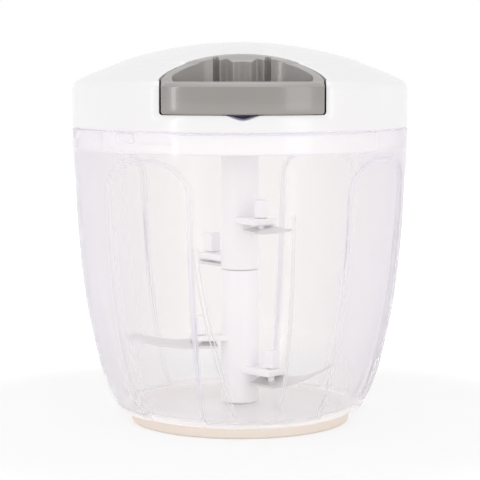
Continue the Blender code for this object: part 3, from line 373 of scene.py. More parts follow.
def atBearing(bearing, radius=0.0, height=0.0):  # a shape's own +X then points outward
    return Matrix.Rotation(radians(bearing - 90), 4, "Z") @ Matrix.Translation((radius, 0, height))


def addObject(name, data):
    made = bpy.data.objects.new(name, data)
    bpy.context.scene.collection.objects.link(made)
    return made


def newPiece(name, mesh, surface, body, nodes=(), sharp=32):
    piece = addObject(name, mesh)
    mesh.name = name
    mesh.materials.clear()
    mesh.materials.append(surface)
    mesh.shade_smooth()
    mesh.set_sharp_from_angle(angle=radians(sharp))
    if body:
        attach(piece, body)
    if nodes:
        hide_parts(*nodes)
    return piece


samePoint = 0.0000005
nearby = 0.0001  # for finding a face by its place


def meshOf(shape):
    bmesh.ops.remove_doubles(shape, verts=shape.verts, dist=samePoint)
    bmesh.ops.recalc_face_normals(shape, faces=shape.faces)
    mesh = bpy.data.meshes.new("shape")
    shape.to_mesh(mesh)
    shape.free()
    return mesh


def lofted(loops, closed=False):  # quads between neighbouring loops of equal length
    shape = bmesh.new()
    rows = [[shape.verts.new(point) for point in loop] for loop in loops]
    pairs = list(zip(rows, rows[1:]))
    if closed:
        pairs.append((rows[-1], rows[0]))
    for low, high in pairs:
        for i in range(len(low)):
            k = (i + 1) % len(low)
            shape.faces.new((low[i], low[k], high[k], high[i]))
    if not closed:
        for row in (rows[0], rows[-1]):
            if (row[0].co - row[len(row) // 2].co).length > samePoint:
                shape.faces.new(row)
    return meshOf(shape)


def turned(profile, steps, closed=False):  # (radius, height) points about Z
    loops = [[(*polar(radius, 360 * i / steps), height) for i in range(steps)] for radius, height in profile]
    return lofted(loops, closed)


def rounded(points, radius, count=5, closed=True):  # swaps each corner for a short arc
    made = []
    total = len(points)
    for i, corner in enumerate(points):
        if not closed and i in (0, total - 1):
            made.append(tuple(corner))
            continue
        before, after = Vector(points[i - 1]), Vector(points[(i + 1) % total])
        corner = Vector(corner)
        near, far = before - corner, after - corner
        bend = near.angle(far, pi)
        if bend > radians(168):
            made.append(tuple(corner))
            continue
        reach = min(radius / tan(bend / 2), near.length * 0.48, far.length * 0.48)
        start, end = corner + near.normalized() * reach, corner + far.normalized() * reach
        for k in range(count + 1):
            share = k / count
            made.append(tuple(start.lerp(corner, share).lerp(corner.lerp(end, share), share)))
    return made


def spread(points, count):  # that many even steps along an open line, ends kept
    lengths = [0.0]
    for first, second in zip(points, points[1:]):
        lengths.append(lengths[-1] + dist(first, second))
    made = []
    spot = 0
    for k in range(count + 1):
        target = lengths[-1] * k / count
        while spot < len(points) - 2 and lengths[spot + 1] < target:
            spot += 1
        span = max(lengths[spot + 1] - lengths[spot], 1e-12)
        made.append(lerp(points[spot], points[spot + 1], (target - lengths[spot]) / span))
    return made


def prism(outline, low, high):
    return lofted([[(x, y, height) for x, y in outline] for height in (low, high)])


def roundedBox(low, high, radius, place=Matrix(), segments=3):
    shape = bmesh.new()
    bmesh.ops.create_cube(shape, size=1)
    size, middle = Vector(high) - Vector(low), (Vector(high) + Vector(low)) / 2
    for vert in shape.verts:
        vert.co = Vector(a * b for a, b in zip(vert.co, size)) + middle
    bmesh.ops.bevel(shape, geom=shape.edges[:], offset=radius, segments=segments, profile=0.5, affect="EDGES")
    bmesh.ops.transform(shape, matrix=place, verts=shape.verts)
    return meshOf(shape)


def rod(radius, low, high, steps=48, place=Matrix(), edge=0.0):
    inner = radius - edge
    profile = [(0, low), (inner, low)]
    if edge:
        profile += [(inner + edge * sin(a), low + edge - edge * cos(a)) for a in (0.5, 1.0, 1.5708)]
        profile += [(inner + edge * cos(a), high - edge + edge * sin(a)) for a in (0, 0.5, 1.0)]
    else:
        profile += [(radius, low), (radius, high)]
    profile += [(inner, high), (0, high)]
    mesh = turned(profile, steps)
    mesh.transform(place)
    return mesh


def join(tool):
    return "UNION", tool


def less(tool):
    return "DIFFERENCE", tool


def shaped(mesh, steps):  # joins or cuts away meshes one after the other
    for operation, other in steps:
        base, tool = addObject("work", mesh), addObject("tool", other)
        change = base.modifiers.new("change", "BOOLEAN")
        change.operation, change.object, change.solver = operation, tool, "EXACT"
        bpy.context.view_layer.update()
        graph = bpy.context.evaluated_depsgraph_get()
        mesh = bpy.data.meshes.new_from_object(base.evaluated_get(graph))
        for obj in (base, tool):
            bpy.data.objects.remove(obj, do_unlink=True)
    return mesh


# Bowl

skirtLevel = 0.10775  # where the lid's skirt meets the wall
bowl = {
    "height": 0.1155,
    "rim": 0.0653,
    "foot": 0.048,
    "footHeight": 0.0058,
    "wall": 0.0022,
    "floorUnder": 0.004,
    "floorTop": 0.0062,
    "shape": ((0, 0), (0.09, 0.28), (0.21, 0.5), (0.39, 0.73), (0.62, 0.885), (0.85, 0.96), (1, 1)),
    "fluteBearing": -34.3,
    "fluteHalfAngle": 15.3,
    "fluteTop": 0.105,
    "fluteArch": 0.0125,
    "fluteEdge": 0.0022,
    "fluteDepths": (0.0033, 0.0009),
    "turnIn": 0.043,
    "footLean": 0.0008,
    "floorBend": (0.0042, 0.0006, 0.0022),  # run, lean and rise
    "edge": 0.0004,
    "lugs": 3,
    "lugBearing": -43.5,
    "lugSize": (0.009, 0.0033),
    "lugMiddle": 0.1128,
    "lugReach": 0.0012,
    "boss": (0.006, 0.001, 0.0067),
    "well": (0.0028, 0.0017, 0.009),
    "rib": (
        (0.0406, 0.004), (0.0406, 0.0022), (0.0404, 0.002), (0.0384, 0.002), (0.0382, 0.0022), (0.0382, 0.004),
    ),
    "rows": 110,
    "steps": 320,
    "flankZone": (0.002, 0.006),  # past the flute's top, inside the wall
    "flankReach": 0.0009,
    "flankSlope": 0.55,
    "rimZone": (0.0045, 0.0008),  # height, past the turn-in
    "footZone": (0.0016, 0.0004, 0.0014),  # above the foot, past the turn-in, fade
    "skirtMark": (0.1075, -0.1),  # height, share
    "floorMark": 0.3,
    "wallMark": (0.042, 0.03, -0.25),  # height, fade, share
}


def smoothValue(table, place):  # a smooth line through the table's points
    last = len(table) - 1
    row = max(i for i in range(last) if table[i][0] <= place or i == 0)

    def slope(i):
        low, high = table[max(i - 1, 0)], table[min(i + 1, last)]
        return (high[1] - low[1]) / (high[0] - low[0])

    width = table[row + 1][0] - table[row][0]
    share = (place - table[row][0]) / width
    start, end = table[row][1], table[row + 1][1]
    rise, fall = share**3 - 2 * share**2 + share, share**3 - share**2
    mixed = start + (end - start) * (3 * share**2 - 2 * share**3)
    return mixed + width * (slope(row) * rise + slope(row + 1) * fall)


def wallRadius(height):
    share = (height - bowl["footHeight"]) / (bowl["height"] - bowl["footHeight"])
    return bowl["foot"] + (bowl["rim"] - bowl["foot"]) * smoothValue(bowl["shape"], share)


def fluteDepth(bearing, radius, height):
    rise = (height - (bowl["fluteTop"] - bowl["fluteArch"])) / bowl["fluteArch"]
    if rise >= 1 or radius < bowl["turnIn"]:
        return 0.0
    aside = abs((bearing - bowl["fluteBearing"] + 45) % 90 - 45)
    halfWidth = radians(bowl["fluteHalfAngle"]) * sqrt(1 - max(rise, 0) ** 2)
    beyond = (radians(aside) - halfWidth) * radius
    up = (height - bowl["footHeight"]) / (bowl["fluteTop"] - bowl["footHeight"])
    foot, top = bowl["fluteDepths"]
    depth = foot + (top - foot) * min(max(up, 0), 1)
    nearFoot = ease((radius - bowl["turnIn"]) / (bowl["foot"] - bowl["turnIn"]))
    return depth * nearFoot * (1 - ease(beyond / bowl["fluteEdge"]))


def flankOf(x, y, height):  # 1 on the slopes beside a flute
    radius, bearing = hypot(x, y), degrees(atan2(x, -y))
    (rimTop, rimIn), (over, within) = bowl["rimZone"], bowl["flankZone"]
    if height < rimTop and radius > bowl["turnIn"] + rimIn:
        return 1.0  # the rim of the foot
    wall = wallRadius(height)
    if not bowl["footHeight"] < height < bowl["fluteTop"] + over or radius < wall - within:
        return 0.0
    near = bowl["flankReach"]
    turn = degrees(near / radius)
    right, left = [fluteDepth(bearing + side, wall, height) for side in (turn, -turn)]
    above, below = [fluteDepth(bearing, wall, height + up) for up in (near, -near)]
    slope = hypot(right - left, above - below) / (2 * near)
    return min(slope / bowl["flankSlope"], 1.0) ** 2


def footOf(x, y, height):  # 1 on the rounded foot, some on the floor, under 0 where the wall is clearer
    above, past, fade = bowl["footZone"]
    footTop = bowl["footHeight"] + above
    if height < footTop and hypot(x, y) > bowl["turnIn"] + past:
        return ease((footTop - height) / fade)
    skirtLow, share = bowl["skirtMark"]
    if height > skirtLow:
        return share
    if abs(height - bowl["floorTop"]) < 2 * nearby:
        return bowl["floorMark"]
    level, fade, share = bowl["wallMark"]
    return share * ease((level - height) / fade)


def bowlProfile():
    wall, rim, top, rows = bowl["wall"], bowl["rim"], bowl["height"], bowl["rows"]
    foot, floorTop, under = bowl["footHeight"], bowl["floorTop"], bowl["floorUnder"]
    lip = wall / 2
    run, lean, rise = bowl["floorBend"]
    heights = [foot + (top - lip - foot) * i / rows for i in range(rows + 1)]
    outer = [(wallRadius(height), height) for height in heights]
    inner = [(radius - wall, height) for radius, height in outer if height > floorTop + rise]
    crest = [(rim - lip + lip * cos(a), top - lip + lip * sin(a)) for a in (0.4, 0.8, 1.2)]
    crest += [(rim - lip, top)]
    crest += [(2 * (rim - lip) - x, y) for x, y in crest[2::-1]]
    last, low = inner[0], outer[0]
    start = (last[0] - run, floorTop)
    floor = [(0, floorTop), (0.02, floorTop), (0.04, floorTop), start]
    floor += bowed(start, (last[0] - lean, floorTop), last, range(1, 8))
    turnIn = bowed(low, (low[0] - bowl["footLean"], under), (bowl["turnIn"], under), range(1, 9))
    return floor + inner + crest[::-1] + outer[::-1] + turnIn + [*bowl["rib"], (0.02, under), (0, under)]


def makeBowl():
    steps, edge = bowl["steps"], bowl["edge"]
    loops = []
    for radius, height in bowlProfile():
        loop = []
        for i in range(steps):
            bearing = 360 * i / steps
            here = radius - fluteDepth(bearing, radius, height)
            loop.append((*polar(here, bearing - 90), height))
        loops.append(loop)
    jobs = [join(rod(*bowl["boss"], edge=edge)), less(rod(*bowl["well"]))]
    inside = wallRadius(skirtLevel) - bowl["wall"]
    width, height = bowl["lugSize"]
    for index in range(bowl["lugs"]):
        low = (inside - bowl["lugReach"], -width / 2, bowl["lugMiddle"] - height / 2)
        high = (inside + bowl["lugReach"], width / 2, bowl["lugMiddle"] + height / 2)
        place = atBearing(bowl["lugBearing"] + index * 120)
        jobs.append(join(roundedBox(low, high, edge, place)))
    made = shaped(lofted(loops), jobs)
    for key, valueOf in (("flank", flankOf), ("foot", footOf)):
        marks = made.attributes.new(key, "FLOAT", "POINT")
        marks.data.foreach_set("value", [valueOf(*vert.co) for vert in made.vertices])
    newPiece("bowlShell", made, clearPlastic, "bowl", ["bowl"])


streaks = {
    "half": 0.0003,
    "rise": 0.0002,
    "sunk": 0.00004,
    "depth": 0.0004,
    "drop": (0.7, 0.02, 0.012),  # each one starts in a drop: its swell, place and width
    "fade": (0.012, 0.03, 0.05),  # in, out and the least width left
    "rows": 90,
    "slanted": ((-16.6, 0.0735), (-15.4, 0.061), (-13.1, 0.0465), (-8.4, 0.0245), (-3.6, 0.0085)),
    "upright": ((16.2, 0.086), (16.4, 0.06), (16.4, 0.04), (15.6, 0.0085)),
    "lines": (("slanted", 0), ("slanted", 1.5), ("upright", 0), ("upright", 0.8)),
}


def makeStreak(name, points, turn):  # a fine line down the wall, given by bearings and heights
    rows, rise, sunk = streaks["rows"], streaks["rise"], streaks["sunk"]
    swell, dropAt, dropWidth = streaks["drop"]
    fadeIn, fadeOut, least = streaks["fade"]
    table = [(-height, bearing + turn) for bearing, height in points]
    start, end = table[0][0], table[-1][0]
    loops = []
    for row in range(rows + 1):
        share = row / rows
        place = start + (end - start) * share
        height, bearing = -place, smoothValue(table, place)
        wall = wallRadius(height)
        drop = 1 + swell * exp(-(((share - dropAt) / dropWidth) ** 2))
        fade = ease(share / fadeIn) * ease((1 - share) / fadeOut)
        wide = streaks["half"] * drop * max(fade, least)

        def point(across, over):
            here = bearing + degrees(across * wide / wall)
            return (*polar(wall - fluteDepth(here, wall, height) + over, here - 90), height)

        front = [-1 + k / 6 for k in range(13)]
        loop = [point(across, rise * fade * (1 - across**2) - sunk) for across in front]
        loops.append(loop + [point(across, -streaks["depth"]) for across in (0.8, 0, -0.8)])
    newPiece(name, lofted(loops), streakPlastic, "bowl")


makeBowl()
for number, (kind, turn) in enumerate(streaks["lines"], 1):
    makeStreak(f"streak{number}", streaks[kind], turn)
print("bowl made")

# Soft ring and pin under it

ring = {
    "outer": 0.043,
    "inner": 0.0358,
    "top": 0.0037,
    "edge": 0.0009,
    "groove": ((-0.0022, 0), (-0.0024, 0.0003), (-0.0032, 0.0003), (-0.0034, 0)),
    "slot": (0.0379, 0.0409, 0.0017),
}
pin = {"radius": 0.0025, "low": 0.002, "high": 0.024, "edge": 0.0005}


def makeRing():
    edge, outer, inner, top = ring["edge"], ring["outer"], ring["inner"], ring["top"]
    slotIn, slotOut, slotLow = ring["slot"]
    profile = [(outer, top), *arc(edge, 0, -90, 6, (outer - edge, edge))]
    profile += [(outer + aside, height) for aside, height in ring["groove"]]
    profile += arc(edge, -90, -180, 6, (inner + edge, edge))
    profile += [(inner, top), (slotIn, top), (slotIn, slotLow), (slotOut, slotLow), (slotOut, top)]
    mesh = turned(profile, 180, closed=True)
    newPiece("softRing", mesh, ringRubber, "bowl", ["base_ring"])


def makePin():
    mesh = rod(pin["radius"], pin["low"], pin["high"], edge=pin["edge"])
    newPiece("pinShaft", mesh, pinSteel, "bowl", ["pivot_pin"])


makeRing()
makePin()

# Blade shaft with its arms, blades and caps

shaft = {
    "radius": 0.0075,
    "edge": 0.0006,
    "bottom": 0.007,
    "joint": 0.0593,
    "top": 0.1076,
    "headTop": 0.1136,
    "bearings": (47, -81, -138, 29),
    "undersides": (0.0188, 0.0315, 0.0622, 0.078),
    "armThick": (0.0026, 0.0019, 0.0026, 0.0026),
    "armWidth": 0.0104,
    "armReach": (0.005, 0.0195),
    "armEdge": 0.0005,
    "rivetHole": 0.0016,
    "spigot": (0.0052, 0.006),
    "socket": (0.0055, 0.0063),
    "head": 0.0062,
    "bore": 0.0028,
}
blade = {
    "pitches": (16, -8.5, 8, 10),
    "rises": (0.009, 0.005, 0.003, 0.002),
    "steps": (0.028, 0.04, 0.028, 0.028),
    "turns": (0, 0, -42, -12),
    "thick": 0.001,
    "half": 0.0052,
    "heel": 0.0095,
    "bend": 0.0215,
    "stepRun": 0.0026,
    "stepDrop": 0.35,
    "edgeCurve": 1.5,
    "backCurve": 0.1,
    "riseCurve": 1.5,
    "tip": 0.0003,
    "length": 0.0462,
    "grind": (0.0022, 0.004, 0.85),  # width, run and share of the thickness
    "columns": 72,
}
cap = {
    "radius": 0.0165,
    "width": 0.005,
    "heights": (0.0069, 0.0075, 0.0075, 0.0069),
    "turns": (0, 0, 0, -29),
    "edge": 0.0006,
    "stem": 0.0013,
    "stemSunk": (0.0003, 0.0005),
    "head": (0.0018, 0.0005, 0.0003),
}


def hexRod(radius, low, high):
    return prism(rounded([polar(radius, 60 * i) for i in range(6)], shaft["edge"], 4), low, high)


def rivetHole(bearing, low, high):
    return less(rod(shaft["rivetHole"], low, high, 24, atBearing(bearing, cap["radius"])))


def makeShaftStage(name, node, bottom, top, arms, jobs):
    half, (start, end) = shaft["armWidth"] / 2, shaft["armReach"]
    for index in arms:
        bearing, under = shaft["bearings"][index], shaft["undersides"][index]
        over = under + shaft["armThick"][index]
        low, high = (start, -half, under), (end, half, over)
        jobs.append(join(roundedBox(low, high, shaft["armEdge"], atBearing(bearing))))
        jobs.append(rivetHole(bearing, under - overlap, over + overlap / 2))
    mesh = shaped(rod(shaft["radius"], bottom, top, 96, edge=shaft["edge"]), jobs)
    newPiece(name, mesh, shaftPlastic, "blades", [node])


def makeShafts():
    bottom, joint, top = shaft["bottom"], shaft["joint"], shaft["top"]
    (male, maleRise), (female, femaleRise) = shaft["spigot"], shaft["socket"]
    spigot = hexRod(male, joint - overlap, joint + maleRise)
    socket = hexRod(female, joint - overlap / 2, joint + femaleRise)
    head = hexRod(shaft["head"], top - overlap, shaft["headTop"])
    bore = rod(shaft["bore"], bottom - overlap, pin["high"] + fit["gap"])
    makeShaftStage("lowerStage", "lower_shaft", bottom, joint, (0, 1), [join(spigot), less(bore)])
    makeShaftStage("upperStage", "upper_shaft", joint + fit["gap"], top, (2, 3), [less(socket), join(head)])


def sharePast(reach, start):
    return max(0.0, (reach - start) / (blade["length"] - start))


def bladeEdges(reach, step):
    taper = sharePast(reach, step)
    drop = blade["stepDrop"] * ease((reach - step) / blade["stepRun"])
    front = blade["half"] * (blade["edgeCurve"] * taper**3 - 1)
    back = blade["half"] * (1 - drop - blade["backCurve"] * taper**2)
    return front, max(back, front + blade["tip"])


def bladeDrop(pitch):
    return blade["half"] * sin(radians(abs(pitch))) + blade["thick"] / 2 + fit["gap"]


def makeBlade(index):
    half = blade["thick"] / 2
    pitch, rise, bearing = blade["pitches"][index], blade["rises"][index], shaft["bearings"][index]
    heel, length, columns = blade["heel"], blade["length"], blade["columns"]
    width, run, thinned = blade["grind"]
    loops = []
    for column in range(columns + 1):
        reach = heel + (length - heel) * column / columns
        front, back = bladeEdges(reach, blade["steps"][index])
        lift = rise * sharePast(reach, blade["bend"]) ** blade["riseCurve"]
        ground = ease((reach - blade["bend"]) / run)  # the edge is ground past the bend only
        grind = min(width, (back - front) * 0.5) * ground
        thin = half * (1 - thinned * ground)
        upper = [(front, thin), (front + grind + 0.0001, half), (back - 0.0002, half), (back, half * 0.6)]
        outline = upper + [(across, -up) for across, up in upper[::-1]]
        loops.append([(reach - cap["radius"], across, lift + up) for across, up in outline])
    mesh = lofted(loops)
    height = shaft["undersides"][index] - bladeDrop(pitch)
    turn = Matrix.Rotation(radians(blade["turns"][index]), 4, "Z")
    tilt = Matrix.Rotation(radians(pitch), 4, "X")
    mesh.transform(atBearing(bearing, cap["radius"], height) @ turn @ tilt)
    mesh = shaped(mesh, [rivetHole(bearing, height - overlap, height + overlap)])
    newPiece(f"bladeSickle{index + 1}", mesh, bladeSteel, "blades", [f"blade_{index + 1}"], 20)


def makeCap(index):
    bearing, under = shaft["bearings"][index], shaft["undersides"][index]
    place = atBearing(bearing, cap["radius"])
    low = under + shaft["armThick"][index] + fit["gap"]
    half, high = cap["width"] / 2, low + cap["heights"][index]
    turn = Matrix.Rotation(radians(cap["turns"][index]), 4, "Z")
    block = roundedBox((-half, -half, low), (half, half, high), cap["edge"], place @ turn, 4)
    (wide, tall, edge), (intoHead, intoCap) = cap["head"], cap["stemSunk"]
    pitch = abs(blade["pitches"][index])
    headTop = under - bladeDrop(pitch) - blade["thick"] / 2 - wide * tan(radians(pitch))
    stem = rod(cap["stem"], headTop - intoHead, low + intoCap, 24, place)
    head = rod(wide, headTop - tall, headTop, 32, place, edge)
    mesh, number = shaped(block, [join(stem), join(head)]), index + 1
    newPiece(f"capBlock{number}", mesh, shaftPlastic, "blades", [f"blade_cap_{number}"])


makeShafts()
for index in range(4):
    makeBlade(index)
    makeCap(index)
print("blade unit made")

# Lid top

lid = {
    "seam": 0.1157,
    "radius": 0.0651,
    "height": 0.0322,
    "dome": 0.147,
    "edge": 0.0045,
    "crown": 0.0465,
    "crownStep": 0.0004,
    "wall": 0.002,
    "steps": 480,
    "rollReach": 0.0032,
    "rollDepth": 0.0009,
    "rollTop": (0.0014, 0.00035),
    "pad": (0.007, 0.0055, -0.018, 0.00025),
    "padSlope": 0.0012,
    "rollFront": (0.0585, 0.006),  # radius and run of the deeper roll
    "rollZone": (0.04, -0.03, 0.062),  # x, y and the radius past which the plan is fine
    "notch": (0.0074, 0.0019),
    "notchRoll": (  # y, share of the depth, share of the width
        (-0.07, 1, 1),
        (-0.0652, 1, 1),
        (-0.0647, 0.92, 0.95),
        (-0.0642, 0.78, 0.86),
        (-0.0636, 0.66, 0.75),
        (-0.063, 0.6, 0.68),
        (-0.0605, 0.6, 0.68),
    ),
    "recessFillet": 0.0011,
    "well": (0.0075, -0.0623, -0.0602, 0.1184),
    "wellEdge": 0.0005,
    "notchShade": (-0.06, 0.002),  # y and depth of the shaded part
    "rim": 0.0006,
    "eyelet": (0.0029, -0.002, 0.004),
    "eyeletStart": -0.0331,
    "post": 0.006,
}
lid["centre"] = lid["seam"] + lid["height"] - lid["dome"]
aboveLid = 0.16
handle = {
    "half": 0.0295,
    "back": 0.036,
    "backRadius": 0.036,
    "bottom": 0.1219,
    "wall": 0.0038,
    "bar": 0.004,
    "corner": 0.004,
    "holeHalf": 0.0254,
    "fillet": 0.0011,
    "topFillet": 0.0008,
    "barDrop": (0.0639, 0.0025, -0.0535, 0.003, 0.0006),  # radius, run, y, run and depth
    "inFillet": 0.0004,
    "cordHeight": 0.1306,
    "cordHole": (0.0013, -0.002, 0.016),
    "knotRoom": (0.0025, 0, 0.008),
    "cordStarts": (-0.036, -0.0396),
    "barBack": -0.05,
    "bend": 0.0016,
    "steps": (22, 18, 20, 72),
}
handle["arcCentre"] = handle["back"] + handle["backRadius"]


def domeHeight(radius, inset=0.0):
    return lid["centre"] + sqrt((lid["dome"] - inset) ** 2 - radius**2)


def crownRise(radius):  # the crown stands a little proud of the dome
    return lid["crownStep"] * (1 - ease((radius - lid["crown"] + 0.0006) / 0.0012))


def recessPlan(grow):
    half, radius = handle["half"] + grow, handle["backRadius"] + grow
    reach = degrees(acos((half - handle["corner"] / 2) / radius))
    back = arc(radius, reach, 180 - reach, 60, (0, -handle["arcCentre"]))
    side = -handle["arcCentre"] + radius * sin(radians(reach)) - handle["corner"]
    front = -lid["radius"] - overlap
    bend = rounded([(half, front), (half, side), back[0], back[3]], handle["corner"], 8, closed=False)
    left = [(-x, y) for x, y in bend[::-1]]
    return bend[:-1] + back[3:-3] + left[1:]


def edgeDistance(x, y, outline):  # 0 inside the outline
    inside, best = False, 1
    for (ax, ay), (bx, by) in zip(outline, outline[1:] + outline[:1]):
        if (ay > y) != (by > y) and x < (bx - ax) * (y - ay) / (by - ay) + ax:
            inside = not inside
        length = (bx - ax) ** 2 + (by - ay) ** 2
        share = min(max(((x - ax) * (bx - ax) + (y - ay) * (by - ay)) / length, 0), 1)
        best = min(best, hypot(x - ax - share * (bx - ax), y - ay - share * (by - ay)))
    return 0.0 if inside else best


def lidProfile():
    crown = lid["crown"]
    radii = [0.002 * i for i in range(23)] + [crown + 0.0003 * i for i in range(-2, 3)]
    points = [(radius, domeHeight(radius) + crownRise(radius)) for radius in radii]
    radius = crown + 0.0015
    centreRadius = lid["radius"] - lid["edge"]
    tangent = degrees(asin(centreRadius / (lid["dome"] - lid["edge"])))
    while radius < centreRadius + 0.0015:
        points.append((radius, domeHeight(radius)))
        radius += 0.001
    centre = (centreRadius, domeHeight(centreRadius, lid["edge"]))
    points += arc(lid["edge"], 90 - tangent, 0, 10, centre)[1:]
    low = lid["seam"] + 0.0002
    count = 24
    top = centre[1]
    points += [(lid["radius"], top + (low - top) * i / count) for i in range(1, count + 1)]
    return points + [(lid["radius"] - 0.0002, lid["seam"]), (0, lid["seam"])]


def recessCutter(plan, floor):
    fillet = lid["recessFillet"]
    loops = []
    for turn in [radians(15 * k) for k in range(7)]:
        level = floor + fillet * (1 - cos(turn))
        outline = recessPlan(fit["handleSide"] - fillet * (1 - sin(turn)))
        loops.append([(x, y, level) for x, y in outline])
    return lofted([*loops, [(x, y, aboveLid) for x, y in plan]])


def notchCutter(floor):
    wide = lid["notch"][0]
    places = [wide * k / 16 for k in range(-16, 17)]
    dips = []
    for y, share, narrow in lid["notchRoll"]:
        dip = [(x, y, floor + share * (notchFloor(x / narrow, floor) - floor)) for x in places]
        dips.append(dip + [(wide, y, floor + 0.004), (-wide, y, floor + 0.004)])
    return lofted(dips)


def lidRoom(low):  # the hollow under the dome, without the block round the handle
    inner, under, post = lid["radius"] - lid["wall"], lid["seam"] - overlap, lid["post"]
    radii = [post] + [inner * k / 12 for k in range(2, 13)]
    room = [(radius, domeHeight(radius, lid["wall"])) for radius in radii] + [(inner, under), (post, under)]
    block = prism(recessPlan(fit["handleSide"] + lid["wall"]), low - overlap, aboveLid)
    return shaped(turned(room, 96, closed=True), [less(block)])


def makeLidTop():
    floor = handle["bottom"] - fit["handleFloor"]
    plan = recessPlan(fit["handleSide"])
    across, near, far, low = lid["well"]
    tools = [
        lidRoom(low),
        recessCutter(plan, floor),
        notchCutter(floor),
        roundedBox((-across, near, low), (across, far, floor + 0.003), lid["wellEdge"]),
        rod(*lid["eyelet"], 32, alongY(lid["eyeletStart"])),
    ]
    mesh = shaped(turned(lidProfile(), lid["steps"]), [less(tool) for tool in tools])
    rollEdges(mesh, plan, floor)
    newPiece("lidTop", mesh, lidPlastic, "lid", ["lid_shell"], 40)
    for surface in (recessShadedPlastic, deepShadow, notchShade):
        mesh.materials.append(surface)
    # painted shade: the well's faces take a dark navy finish, the recess's floor and walls the gap-darkened
    # plastic, and the notch's lip a violet-grey
    far, across, inRim = far + 2 * nearby, across + 2 * nearby, lid["radius"] - lid["rim"]
    back, deep = lid["notchShade"]
    for face in mesh.polygons:
        x, y, z = face.center
        upright = face.normal.z
        if near < y < far and abs(x) < across and low - 2 * nearby < z < floor - nearby:
            face.material_index = 2
        elif z > floor - nearby and hypot(x, y) < inRim and edgeDistance(x, y, plan) == 0:
            face.material_index = 1
        elif z > floor - nearby and abs(upright) < 0.5 and edgeDistance(x, y, plan) < nearby:
            face.material_index = 1
        elif y < back and abs(x) < lid["notch"][0] and floor - deep < z < floor and upright > 0.7:
            face.material_index = 3


def notchFloor(x, floor):  # a shallow dip for the thumb, flared at both ends
    wide, deep = lid["notch"]
    return floor - deep * (0.5 + 0.5 * cos(pi * min(abs(x) / wide, 1)))


def alongY(y, height=handle["cordHeight"]):  # a shape's own +Z then points to -Y
    return Matrix.Translation((0, y, height)) @ Matrix.Rotation(radians(90), 4, "X")


def rollEdges(mesh, plan, floor):  # raises the pad and rounds the recess and notch
    padX, padY, padMiddle, padRise = lid["pad"]
    edge = lid["radius"] - lid["edge"]
    lowest = lid["seam"] + 0.001
    coarse = plan[::3]
    topReach, topDepth = lid["rollTop"]
    frontStart, frontRun = lid["rollFront"]
    zoneX, zoneY, fineFrom = lid["rollZone"]
    for vert in mesh.vertices:
        x, y, z = vert.co
        radius = hypot(x, y)
        onDome = abs(z - domeHeight(min(radius, lid["radius"])) - 0.0002) < 0.0003
        onWall = radius > edge and z > lowest
        onWall = onWall and dist((radius, z), (edge, min(z, 0.129))) > lid["edge"] * 0.97
        if not (onDome or onWall):
            continue
        if onDome:
            aside, along = padX - abs(x), padY - abs(y - padMiddle)
            vert.co.z += padRise * (ease(aside / lid["padSlope"]) * ease(along / lid["padSlope"]))
        if y > zoneY or abs(x) > zoneX:
            continue
        away = hypot(edgeDistance(x, y, coarse if radius < fineFrom else plan), max(floor - z, 0))
        if abs(x) < lid["notch"][0]:
            away = min(away, 2 * max(notchFloor(x, floor) - z, 0))
        front = ease((radius - frontStart) / frontRun)
        reach = topReach + (lid["rollReach"] - topReach) * front
        depth = topDepth + (lid["rollDepth"] - topDepth) * front
        if away >= reach:
            continue
        push = depth * (1 - away / reach) ** 2
        if front > 0.5:
            vert.co.x -= x / radius * push
            vert.co.y -= y / radius * push
        else:
            vert.co.z -= push


makeLidTop()
print("lid top made")

# Pull handle, one cross-section swept round its plan

boss = {
    "outline": (
        (0.0107, -0.0416), (0.0106, -0.0398), (0.0088, -0.0391), (0.0085, -0.0418), (0.0079, -0.0428),
        (0.007, -0.0418), (0.0062, -0.0411), (0.0052, -0.0413), (0.0044, -0.0429), (0.004, -0.0437),
        (0.0032, -0.0449), (0.0024, -0.0443), (0.0012, -0.0436),
    ),
    "middle": -0.0434,
    "corner": 0.0005,
    "spread": 1.12,  # how much wider the wall behind it is
    "drops": (0.0008, 0.0003, 0.0082),  # at the middle, at the end and how far out that is
    "dropFrom": (0.0022, 0.0034),
}


